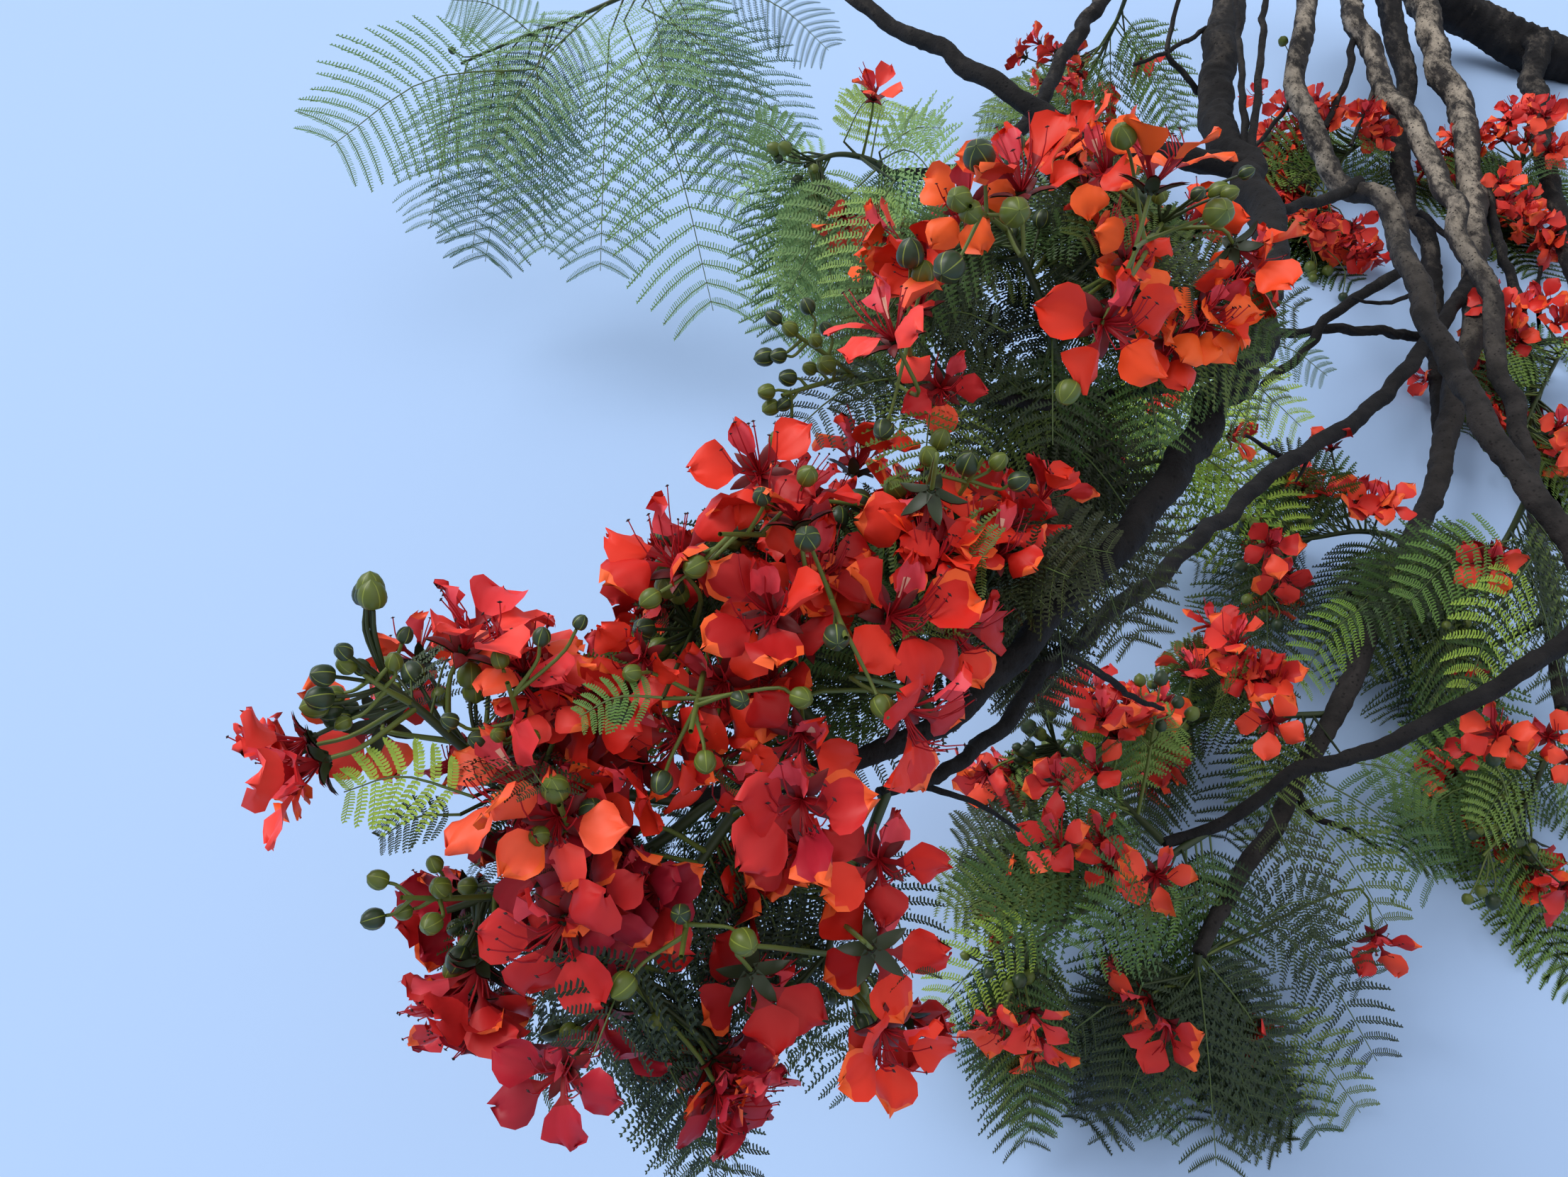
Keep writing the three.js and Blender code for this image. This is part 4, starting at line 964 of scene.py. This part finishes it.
# How many pinnae a side, leaflets along each one and steps in its vein, for leaves seen close,
# farther off and from afar, for the longest, and for the young ones near the tips.
LEAF_PATTERNS = {
    "close": [leaf_pattern(9, 14, 2, seed) for seed in range(5)],
    "middle": [leaf_pattern(12, 14, 2, seed, pointed=True) for seed in range(10, 15)],
    "far": [leaf_pattern(11, 11, 1, seed, slim=1.1, pointed=True) for seed in range(20, 24)],
    "long": [leaf_pattern(16, 26, 3, seed, slim=0.8) for seed in range(30, 34)],
    "young": [leaf_pattern(8, 11, 2, seed, slim=1.3) for seed in range(40, 43)],
}


def away_from(stem, share, angle, forward):
    """The way out from a stem at this share of it, round it by this angle and so much along it."""
    heading = stem.heading(share)
    flat = unit(np.cross(heading, TO_EYE))
    deep = unit(np.cross(flat, heading))
    return unit(flat * math.cos(angle) + deep * math.sin(angle) * DEPTH_SHARE + heading * forward)


def leaf_plan(stem, mass, seed, index):
    """Where a leaf grows: its foot, the way that it reaches, its side and its length. Those after
    the first few keep to the far side, behind the blooms. The shares here, and in bud_plan and
    bloom_plan, are the ones that the solids are drawn with."""
    draw = seeded(seed * SEEDS_A_MASS + index)
    share = mass["leaf_from"] + (1 - mass["leaf_from"]) * ((index * GOLDEN_SHARE + 0.35) % 1)
    at_foot, at_tip = mass["lean"]
    forward = at_foot + (at_tip - at_foot) * share
    outward = away_from(stem, share, index * GOLDEN_ANGLE + draw() * 0.9, forward)
    if index > mass["leading"]:
        outward = outward - TO_EYE * 1.3 * max(0, outward @ TO_EYE)
    reach = unit(outward + HANGING * (mass["hang"] + 0.3 * draw()))
    length = mass["leaf"] * (0.72 + 0.4 * draw())
    lean = (draw() - 0.5) * 1.3
    face_up = TO_EYE + ACROSS * lean + UPWARD * (draw() * 0.8)
    guide = face_up if abs(np.dot(face_up, reach)) < 1 else UPWARD
    side = unit(np.cross(reach, guide))
    return stem.at(share), reach, side, length


def shown_plan(foot, tip, turn):
    """A leaf that reaches from one place to another, turned so many degrees from facing the eye."""
    span = tip - foot
    length = np.linalg.norm(span) / 0.96
    reach = unit(span - HANGING * RIB_HANG * length)
    angle = math.radians(turn)
    side = unit(np.cross(reach, TO_EYE * math.cos(angle) + UPWARD * math.sin(angle)))
    return foot, reach, side, length


def add_leaf(heap, plan, patterns, number, green):
    """A leaf bent to its rib, which starts straight and hangs at its end."""
    root, reach, side, length = plan
    rib = Curve([root, root + reach * length * 0.5,
                 root + reach * length * 0.9 + HANGING * length * RIB_HANG])
    pattern, faces, on_vein = patterns[number % len(patterns)]
    shares = pattern[:, 0]
    heading = rib.heading(shares)
    across = unit(side - heading * (heading @ side)[:, None])
    upright = np.cross(across, heading)
    points = rib.at(shares) + length * (
        heading * pattern[:, 1:2] + across * pattern[:, 2:3] + upright * pattern[:, 3:4]
        + HANGING * pattern[:, 4:5])
    heap.add(points, faces, np.where(on_vein, RIB, green))
    add_tube(heap, rib, np.linspace(*RIB_RADII, RIB_RINGS) * (0.7 + length / 700), 3, RIB)


# Blooms and buds. A bloom's sizes are shares of its reach, and a calyx's and a pod's are in
# millimetres. A stalk leaves its stem STALK_BACK of it before the place nearest to its end, but no
# lower than STALK_LOWEST, and bends when STALK_BEND of its own length is left. A valve of a bud has
# points at these degrees from its seam, at these shares of the bud's radius.
STEM_STEPS = 41
STALK_BACK = 0.12
STALK_LOWEST = 0.12
STALK_BEND = 0.34
STALK_FLARE = 0.5
CLAW_SHARE = 0.4
RIM_FROM = 0.89
SIDE_RIM_FROM = 0.74
STREAK_ROWS = (2, 6)
STAMENS = 10
PETAL = dict(length=1.12, width=0.36, lean=100)
STANDARD_PETAL = dict(length=0.95, width=0.2, lean=62)
CALYX_RADII = (2.2, 3.4, 4.4)
STREAK_CHANCE = 0.3
GLOW_RIM_CHANCE = 0.4
SAME_TINT_CHANCE = 0.65
SEPAL_LENGTH = 0.47
SEPAL_HALF_WIDTH = 0.09
POD_HALF_WIDTH = 2.3
POD_FACES = np.array([[0, 1, 4], [1, 2, 4], [2, 3, 4], [3, 0, 4],
                      [1, 0, 5], [2, 1, 5], [3, 2, 5], [0, 3, 5]])

# What one bloom or petal differs from the next by: how old it is, told in degrees of lean, where a
# petal's lean starts and what is added to its end, its length and width as shares, and how much
# it curls, twists and ruffles. The standard curls and ruffles by set amounts.
AGES = (-32, 28)
FOOT_LEANS = (26, 42)
END_LEANS = (-28, 32)
PETAL_LENGTHS = (0.9, 1.05)
PETAL_WIDTHS = (0.84, 1.08)
CURLS = (-0.6, 0.55)
TWISTS = (-0.9, 0.9)
RUFFLES = (0.04, 0.09)
STANDARD_CURL = 0.7
STANDARD_RUFFLE = 0.1

VALVES = 5
SEAM_DEGREES = (0, 6, 28, 50)
SEAM_DEPTHS = (0.94, 0.94, 1, 1)
BUD_PLUMPNESS = 0.82
BUD_FOOT = 0.42


def nearest_on(stem, point, back):
    """The share of a stem that is so much before its nearest place to a point."""
    shares = np.linspace(0, 1, STEM_STEPS)
    best = shares[np.argmin(np.linalg.norm(stem.at(shares) - point, axis=1))]
    return max(STALK_LOWEST, best - back)


def stalk_to(heap, stem, end, axis, radius, finish, near):
    """A stalk that leaves a stem a little before its end's nearest place and turns to its axis."""
    start = stem.at(nearest_on(stem, end, STALK_BACK))
    bend = end - axis * np.linalg.norm(end - start) * STALK_BEND
    rings, sides = (8, 5) if near else (6, 3)
    radii = radius * (1 + STALK_FLARE * (1 - np.linspace(0, 1, rings)) ** 3)
    add_tube(heap, Curve([start, bend, end]), radii, sides, finish)


def past(share, start, span):
    """How far a share has come through a span from its start, from 0 to 1."""
    return np.clip((share - start) / span, 0, 1)


def walked(lean, step):
    """How far out and up each row of a strip is, when each step leans so far from the axis."""
    return [np.concatenate([[0], np.cumsum(share_of(lean[:-1]) * step)])[:, None]
            for share_of in (np.sin, np.cos)]


def petal_points(rows, columns, length, width, leans, curl, twist, ruffle, random):
    """A petal that starts at the origin and leans from Z out towards X: a narrow claw, then a
    round blade, pleated like a fan and ruffled at its rim."""
    u = np.linspace(0, 1, rows)[:, None]
    v = np.linspace(-1, 1, columns)[None]
    t = past(u, CLAW_SHARE, 1 - CLAW_SHARE)
    fullness = np.sin(math.pi * t ** 1.12) ** 0.58
    half = np.maximum(width * fullness, 0.045 - 0.01 * u)
    lean = np.radians(leans[0] + (leans[1] - leans[0]) * u[:, 0] ** 1.15)
    out, rise = walked(lean, length / (rows - 1))
    phases = random.uniform(0, FULL_TURN, 4)
    waves = random.uniform(1.6, 2.8)
    rim = np.abs(v) ** 2 * fullness
    fold = ruffle * rim * np.sin(waves * FULL_TURN * u + phases[0] + 1.5 * np.sign(v))
    fold = fold + ruffle * 0.9 * past(t, 0.55, 0.45) * np.sin(4.4 * v + phases[1])
    fold = fold + 0.018 * np.sin(11 * v + phases[2]) * fullness
    fold = fold + 0.012 * np.sin(17 * u + phases[1]) * rim + curl * v ** 2 * half
    ragged = 0.045 * past(t, 0.6, 0.4) * np.sin(6 * v + phases[3])
    turn = twist * u
    sideways = half * v * np.cos(turn) - fold * np.sin(turn)
    raised = half * v * np.sin(turn) + fold * np.cos(turn)
    x = out - raised * np.cos(lean)[:, None] + ragged * np.sin(lean)[:, None]
    z = rise + raised * np.sin(lean)[:, None] + ragged * np.cos(lean)[:, None]
    return np.stack([x, sideways, z], -1)


def petal_finishes(rows, columns, blade, rim, random):
    """Which finish each triangle of a petal takes: its claw, deep red and partly painted shade, its
    blade, and a rim that runs along its end and down one side. The rim can take a brighter orange,
    painted glow of light through the thin edge."""
    u = (np.arange(rows - 1)[:, None] + 0.5) / (rows - 1) + np.zeros((1, columns - 1))
    v = (np.arange(columns - 1)[None] + 0.5) / (columns - 1) * 2 - 1 + np.zeros((rows - 1, 1))
    hand = random.choice((-1, 1))
    down_to = random.uniform(0.45, 0.95)
    # The claw takes the deep red, partly painted shade at the bloom's heart.
    finish = np.where(u < CLAW_SHARE, DEEP_CLAW_AND_SHADE, blade)
    finish = np.where((u > RIM_FROM) | ((hand * v > SIDE_RIM_FROM) & (u > down_to)), rim, finish).ravel()
    return np.concatenate([finish, finish])


def turned(points, angle, basis, middle, scale):
    """Points turned about Z, then set on an axis."""
    c, s = math.cos(angle), math.sin(angle)
    x, y, z = points[..., 0], points[..., 1], points[..., 2]
    first, second, axis = basis
    return middle + scale * ((c * x - s * y)[..., None] * first + (s * x + c * y)[..., None] * second
                             + z[..., None] * axis)


def add_bloom(heap, middle, axis, reach, tints, seed, near):
    """A bloom: a calyx with five sepals, four spreading petals, a narrower crumpled standard, and
    long stamens."""
    random = np.random.default_rng(seed)
    first, second = square_to(axis)
    spin = random.uniform(-0.6, 0.6)
    basis = (first * math.cos(spin) + second * math.sin(spin),
             second * math.cos(spin) - first * math.sin(spin), axis)
    rows, columns = (10, 9) if near else (7, 5)
    faces = grid_faces(rows, columns)
    age = random.uniform(*AGES)
    tint = tints[random.integers(len(tints))]
    for petal in range(5):
        standard = petal == 0
        shape = STANDARD_PETAL if standard else PETAL
        leans = (random.uniform(*FOOT_LEANS), shape["lean"] + age + random.uniform(*END_LEANS))
        points = petal_points(
            rows, columns, leans=leans,
            length=shape["length"] * random.uniform(*PETAL_LENGTHS),
            width=shape["width"] * random.uniform(*PETAL_WIDTHS),
            curl=STANDARD_CURL if standard else random.uniform(*CURLS),
            twist=random.uniform(*TWISTS),
            ruffle=STANDARD_RUFFLE if standard else random.uniform(*RUFFLES), random=random)
        blade = tint if random.random() < SAME_TINT_CHANCE else tints[random.integers(len(tints))]
        # Some petals take the orange rim, a painted glow of light through the thin edge.
        rim = GLOW_RIM if random.random() < GLOW_RIM_CHANCE else blade
        if standard:
            blade, rim = STANDARD, tint
        finish = petal_finishes(rows, columns, blade, rim, random)
        if standard and near and random.random() < STREAK_CHANCE:
            column = np.tile(np.arange(columns - 1), rows - 1)
            row = np.repeat(np.arange(rows - 1), columns - 1)
            inner = np.abs(column - (columns - 2) / 2) < 1
            streak = inner & (row > STREAK_ROWS[0]) & (row < STREAK_ROWS[1])
            finish = np.where(np.tile(streak, 2), STREAKED, finish)
        angle = petal * FULL_TURN / 5 + random.uniform(-0.2, 0.2)
        heap.add(turned(points, angle, basis, middle - axis * 2, reach), faces, finish)
    add_sepals(heap, basis, middle, reach, random, near)
    add_stamens(heap, basis, middle, reach, random, near)
    sides = 6 if near else 4
    shares = np.linspace(-1, 0.1, 3)[:, None]
    rings = tube_points(middle + shares * BLOOM_CALYX * axis, np.tile(axis, (3, 1)), CALYX_RADII, sides)
    heap.add(rings, grid_faces(3, sides, closed=True), SEPAL_OUTSIDE)


def add_sepals(heap, basis, middle, reach, random, near):
    """Five narrow pointed sepals, red inside and green outside, that bend back between petals."""
    rows, columns = (5, 3) if near else (3, 3)
    faces = grid_faces(rows, columns)
    u = np.linspace(0, 1, rows)[:, None]
    v = np.linspace(-1, 1, columns)[None]
    end = random.uniform(104, 142)
    for sepal in range(5):
        lean = np.radians(np.linspace(50, end + random.uniform(-10, 10), rows))
        out, rise = walked(lean, SEPAL_LENGTH / (rows - 1))
        half = SEPAL_HALF_WIDTH * np.sin(math.pi * (0.25 + 0.75 * u)) ** 0.8 + 0.004
        points = np.stack([0.05 + out + 0 * v, half * v, -0.07 + rise - 0.3 * half * v ** 2], -1)
        angle = (sepal + 0.5) * FULL_TURN / 5 + random.uniform(-0.08, 0.08)
        heap.add(turned(points, angle, basis, middle, reach), faces, SEPAL_INSIDE)
        points[..., 2] -= 0.02
        heap.add(turned(points, angle, basis, middle, reach), faces[:, ::-1], SEPAL_OUTSIDE)


def add_stamens(heap, basis, middle, reach, random, near):
    """Long thin filaments that rise from the throat and bow out, each with a dark anther. A bloom
    far off has half of its ten, drawn thicker so that they show."""
    first, second, axis = basis
    steps = 5 if near else 3
    for _ in range(STAMENS if near else STAMENS // 2):
        angle = random.uniform(0, FULL_TURN)
        spread = first * math.cos(angle) + second * math.sin(angle)
        length = reach * random.uniform(0.75, 1.05)
        tip = (middle + axis * length * random.uniform(0.55, 0.85) + spread * length * 0.42
               + first * length * 0.25)
        bow = middle + axis * length * 0.42 + spread * length * 0.26 - first * length * 0.06
        route = Curve([middle - axis * 1.5, bow, tip])
        add_tube(heap, route, np.linspace(0.85, 0.5, steps) * (1 if near else 1.3), 3, FILAMENT)
        if near:
            heading = route.heading(1.0)
            side = unit(np.cross(heading, axis + 0.3 * second))
            other = np.cross(side, heading)
            wide = side * POD_HALF_WIDTH
            pod = np.array([wide, heading, -wide, -heading, other, -other])
            heap.add(pod * reach / BLOOM_REACH + tip, POD_FACES, ANTHER)


def add_bud(heap, middle, axis, size, finish, near):
    """A bud: a plump drop whose five valves meet in low seams, paler than the valves. Far off, it
    is a plain drop."""
    sides, rows = (VALVES * len(SEAM_DEGREES), 8) if near else (8, 6)
    first, second = square_to(axis)
    u = np.linspace(0, 1, rows)
    profile = np.sin(math.pi * np.clip(u, 0.0004, 0.9996) ** 0.86) ** 0.5
    angles = around(sides)
    depths = np.ones(sides)
    if near:
        angles = np.radians(np.add.outer(np.arange(VALVES) * 360 / VALVES, SEAM_DEGREES).ravel())
        depths = np.tile(SEAM_DEPTHS, VALVES)
        strips = np.where(np.arange(sides) % len(SEAM_DEGREES) == 0, BUD_SEAM, finish)
        finish = np.tile(strips, 2 * (rows - 1))
    radius = BUD_RADIUS * size * profile[:, None] * depths[None]
    along = (u - 0.5) * BUD_LENGTH * BUD_PLUMPNESS * size
    points = (middle + along[:, None, None] * axis
              + radius[..., None] * (np.cos(angles)[:, None] * first + np.sin(angles)[:, None] * second))
    heap.add(points, grid_faces(rows, sides, closed=True), finish)


def bud_on_stalk(heap, stem, middle, axis, size, finish, stalk_share, stalk_finish, near):
    """A bud and the stalk from a stem to its foot, which is so much of a bloom's stalk."""
    add_bud(heap, middle, axis, size, finish, near)
    foot = middle - axis * BUD_LENGTH * BUD_FOOT * size
    stalk_to(heap, stem, foot, axis, PEDICEL_RADIUS * stalk_share, stalk_finish, near)


def above_ground(middle, room):
    """A middle, raised where it has to be so that there is room for it above the ground."""
    middle[2] = max(middle[2], room)
    return middle


def bud_plan(stem, seed, index):
    """Where a bud grows: its middle, the way that it points, and its size."""
    draw = seeded(seed * SEEDS_A_MASS + BUD_SEEDS + index)
    share = 0.55 + 0.45 * ((index * GOLDEN_SHARE + 0.9) % 1)
    outward = away_from(stem, share, index * GOLDEN_ANGLE + draw(), 0.9)
    out = 34 + 34 * draw()
    size = 0.62 + 0.45 * draw()
    return above_ground(stem.at(share) + outward * out, BUD_LENGTH * 0.6 * size), outward, size


def bloom_plan(stem, mass, seed, index):
    """Where a small bloom grows: its middle, the way that it faces, and its reach."""
    draw = seeded(seed * SEEDS_A_MASS + BLOOM_SEEDS + index)
    share = 0.25 + 0.75 * ((index * GOLDEN_SHARE + 0.15) % 1)
    outward = away_from(stem, share, index * GOLDEN_ANGLE + draw() * 1.2, 0.4)
    looser = (mass["loose"] - 1) * max(0, index - DRAWN_BLOOMS) / mass["blooms"]
    out = (62 + 46 * draw()) * (1 + looser)
    axis = unit(outward + TO_EYE * 0.5 * draw())
    reach = BLOOM_REACH * (0.72 + 0.2 * draw())
    return above_ground(stem.at(share) + outward * out, reach), axis, reach


# Growing the masses, one heap of each kind for each region of the bough. A spray's buds stand at
# its depth times the first of SPRAY_DEPTHS and up to the second more, and its stalk leaves the
# stem SPRAY_BACK of it before the last one.
REGIONS = ("front", "upper", "top", "right", "low", "back")
NEAR_REGIONS = ("front", "upper")
STEM_RINGS = 36
STEM_SIDES = 7
BUD_STALK_SHARE = 0.8
SMALL_CALYX_SHARE = 0.8
SHOWN_BLOOM_SHARE = 0.85
SPRAY_DEPTHS = (0.985, 0.03)
SPRAY_BACK = 0.2
SPRAY_STALK_RADII = (2.6, 1.7)
SPRAY_STALK_RINGS = 10
SPRAY_BUD_STALK_SHARE = 0.75
SPRAY_BUD_ROOM = 12
heaps = {region: {kind: Heap() for kind in ("leaves", "blooms", "stalks")} for region in REGIONS}
stems = {name: Curve([seen(spot) for spot in mass["route"]]) for name, mass in MASSES.items()}


def grow_mass(order, name, mass):
    """A mass's stem, then the leaves, buds and small blooms of the seeded rule, without those that
    would stand in the clear."""
    kinds, stem = heaps[mass["region"]], stems[name]
    near = mass["region"] in NEAR_REGIONS
    seed = order + 1
    stalks = kinds["stalks"]
    add_tube(stalks, stem, np.linspace(STALK_RADIUS, STALK_TIP_RADIUS, STEM_RINGS), STEM_SIDES,
             STALK_DARK)
    seen_from = {"front": "close", "back": "far"}.get(mass["region"], "middle")
    patterns = LEAF_PATTERNS["long" if mass["leaf"] > LONG_LEAF else seen_from]
    greens, reds = tints_of(GREENS, mass["greens"]), tints_of(REDS, mass["reds"])
    for i in range(mass["leaves"]):
        plan = leaf_plan(stem, mass, seed, i)
        root, reach, _, length = plan
        if not in_clear(root + reach * length * LEAF_MOST, mass):
            add_leaf(kinds["leaves"], plan, patterns, i + order, greens[(i + order) % TINTS_A_LIST])
    for i in range(mass["buds"]):
        middle, axis, size = bud_plan(stem, seed, i)
        if not in_clear(middle, mass):
            skin = BUD_SKINS[(i + order) % 2]
            bud_on_stalk(stalks, stem, middle, axis, size, skin, BUD_STALK_SHARE, STALK_DARK, near)
    for i in range(mass["blooms"]):
        middle, axis, reach = bloom_plan(stem, mass, seed, i)
        if not in_clear(middle, mass):
            add_bloom(kinds["blooms"], middle, axis, reach, reds, seed * PETAL_SEEDS_A_MASS + i, near)
            stalk_to(stalks, stem, middle - axis * BLOOM_CALYX * SMALL_CALYX_SHARE, axis,
                     PEDICEL_RADIUS, STALK_SKINS[i % 2], near)


def hang_bloom(on, spot, bearing, lean, reach, seed):
    """A listed bloom, and its stalk from a mass's stem."""
    kinds = heaps[MASSES[on]["region"]]
    middle, axis = seen(spot), facing(bearing, lean)
    add_bloom(kinds["blooms"], middle, axis, reach, tints_of(REDS, MASSES[on]["reds"]), seed, True)
    stalk_to(kinds["stalks"], stems[on], middle - axis * BLOOM_CALYX, axis, PEDICEL_RADIUS, STALK_GREEN,
             True)


def hang_leaf(order, on, foot, tip, turn, greens):
    """A listed leaf, and its stalk from a mass's stem."""
    kinds, stem = heaps[MASSES[on]["region"]], stems[on]
    foot = seen(foot)
    plan = shown_plan(foot, seen(tip), turn)
    kind = "long" if MASSES[on]["leaf"] > LONG_LEAF else "young" if plan[3] < YOUNG_LEAF else "close"
    green = tints_of(GREENS, greens)[order % TINTS_A_LIST]
    add_leaf(kinds["leaves"], plan, LEAF_PATTERNS[kind], order, green)
    axis = unit(foot - stem.at(nearest_on(stem, foot, STALK_BACK)))
    stalk_to(kinds["stalks"], stem, foot, axis, PEDICEL_RADIUS, STALK_DARK, False)


def hang_spray(order, on, deep, large, spots):
    """A listed spray of buds: a stalk from a mass's stem, and a bud on it for each spot."""
    region = MASSES[on]["region"]
    stalks, stem = heaps[region]["stalks"], stems[on]
    near = region in NEAR_REGIONS
    draw = seeded(SPRAY_SEEDS + order)
    least, more = SPRAY_DEPTHS
    middles = [seen((across, down, deep * (least + more * draw()))) for across, down in spots]
    foot = stem.at(max(SPRAY_BACK, nearest_on(stem, middles[-1], SPRAY_BACK)))
    heart = sum(middles) / len(middles)
    stalk = Curve([foot, foot + (heart - foot) * 0.55 + TO_EYE * 4, heart + (heart - foot) * 0.1])
    radii = np.linspace(*SPRAY_STALK_RADII, SPRAY_STALK_RINGS)
    add_tube(stalks, stalk, radii, 6 if near else 4, STALK_GREEN)
    for middle in middles:
        size = large * (0.78 + 0.4 * draw())
        leave = stalk.at(nearest_on(stalk, middle, 0.3))
        axis = unit(middle - leave + 0.3 * (heart - foot) * draw())
        skin = BUD_SKINS[int(2 * draw())]
        middle = above_ground(middle, SPRAY_BUD_ROOM)
        bud_on_stalk(stalks, stalk, middle, axis, size, skin, SPRAY_BUD_STALK_SHARE, STALK_GREEN, near)


for order, (name, mass) in enumerate(MASSES.items()):
    grow_mass(order, name, mass)
for order, bloom in enumerate(LARGE_BLOOMS.values()):
    hang_bloom(*bloom, BLOOM_REACH, LARGE_BLOOM_SEEDS + order)
for order, bloom in enumerate(SHOWN_BLOOMS):
    hang_bloom(*bloom, BLOOM_REACH * SHOWN_BLOOM_SHARE, SHOWN_BLOOM_SEEDS + order)
for order, (on, leaf) in enumerate((on, leaf) for on, leaves in SHOWN_LEAVES for leaf in leaves):
    hang_leaf(order, on, *leaf)
for order, spray in enumerate(BUD_SPRAYS):
    hang_spray(order, *spray)

for number, name in enumerate(LIMBS):
    make_limb(number, name)
thin_limbs = Heap()
for number, (route, radii) in enumerate(THIN_LIMBS):
    limb_mesh(thin_limbs, route, radii, sides=9, pitch=THIN_LIMB_PITCH, seed=THIN_LIMB_SEEDS + number,
              collar=0.2)
thin_limbs.make("thin_limbs_bark", [BARK_DARK_AND_SHADED, BARK_DARK_AND_SHADED], "bark")
for region in REGIONS:
    kinds = heaps[region]
    masses = [name for name, mass in MASSES.items() if mass["region"] == region]
    large = [name for name, (on, *_) in LARGE_BLOOMS.items() if on in masses]
    kinds["leaves"].make(region + "_leaves", LEAF_MATERIALS, "leaf", masses)
    kinds["blooms"].make(region + "_blooms", BLOOM_MATERIALS, "petal", masses + large)
    kinds["stalks"].make(region + "_stalks_and_buds", STALK_MATERIALS, "leaf", masses)


# The studio: a pale floor, an even pale sky, and soft lights.
FLOOR_HALF_WIDTH = 14


def make_floor():
    """Matt paint on a flat floor."""
    far = FLOOR_HALF_WIDTH
    corners = [(-far, -far, 0), (far, -far, 0), (far, far, 0), (-far, far, 0)]
    mesh = bpy.data.meshes.new("studio_floor")
    mesh.from_pydata(corners, [], [(0, 1, 2, 3)])
    paint = surface("studio_floor_paint", "#AAC5EB", Roughness=0.95, Specular_IOR_Level=0.1)
    mesh.materials.append(paint)
    floor = bpy.data.objects.new("studio_floor", mesh)
    bpy.context.scene.collection.objects.link(floor)


def make_sun(name, towards, strength, spread):
    """A soft light from far off. towards is where it stands: right, up and near in the picture."""
    data = bpy.data.lights.new(name, "SUN")
    data.energy = strength
    data.angle = math.radians(spread)
    light = bpy.data.objects.new(name, data)
    bpy.context.scene.collection.objects.link(light)
    right, up, near = towards
    place = ACROSS * right + UPWARD * up + TO_EYE * near
    light.rotation_euler = Vector(place).to_track_quat("Z", "Y").to_euler()


def make_sky(colour, strength):
    """Even light from all round."""
    world = bpy.data.worlds.new("studio_sky")
    world.use_nodes = True
    background = world.node_tree.nodes["Background"]
    background.inputs["Color"].default_value = linear(colour)
    background.inputs["Strength"].default_value = strength
    bpy.context.scene.world = world


def make_camera():
    """The eye that the routes are given from, as a camera."""
    data = bpy.data.cameras.new("camera")
    data.lens = FOCAL_PIXELS / PICTURE_WIDTH * SENSOR_MM
    data.sensor_width = SENSOR_MM
    data.clip_start = 0.05
    data.clip_end = 50
    camera = bpy.data.objects.new("camera", data)
    bpy.context.scene.collection.objects.link(camera)
    camera.location = EYE * MM
    camera.rotation_euler = (math.pi / 2 - EYE_TILT, 0, 0)
    bpy.context.scene.camera = camera


make_floor()
make_sun("key_light", towards=(-0.55, 0.72, 0.32), strength=2.2, spread=35)
make_sun("fill_light", towards=(0.5, 0.3, 0.8), strength=0.5, spread=70)
make_sky("#F2F6FC", strength=0.64)
make_camera()
bpy.context.scene.view_settings.view_transform = "Standard"
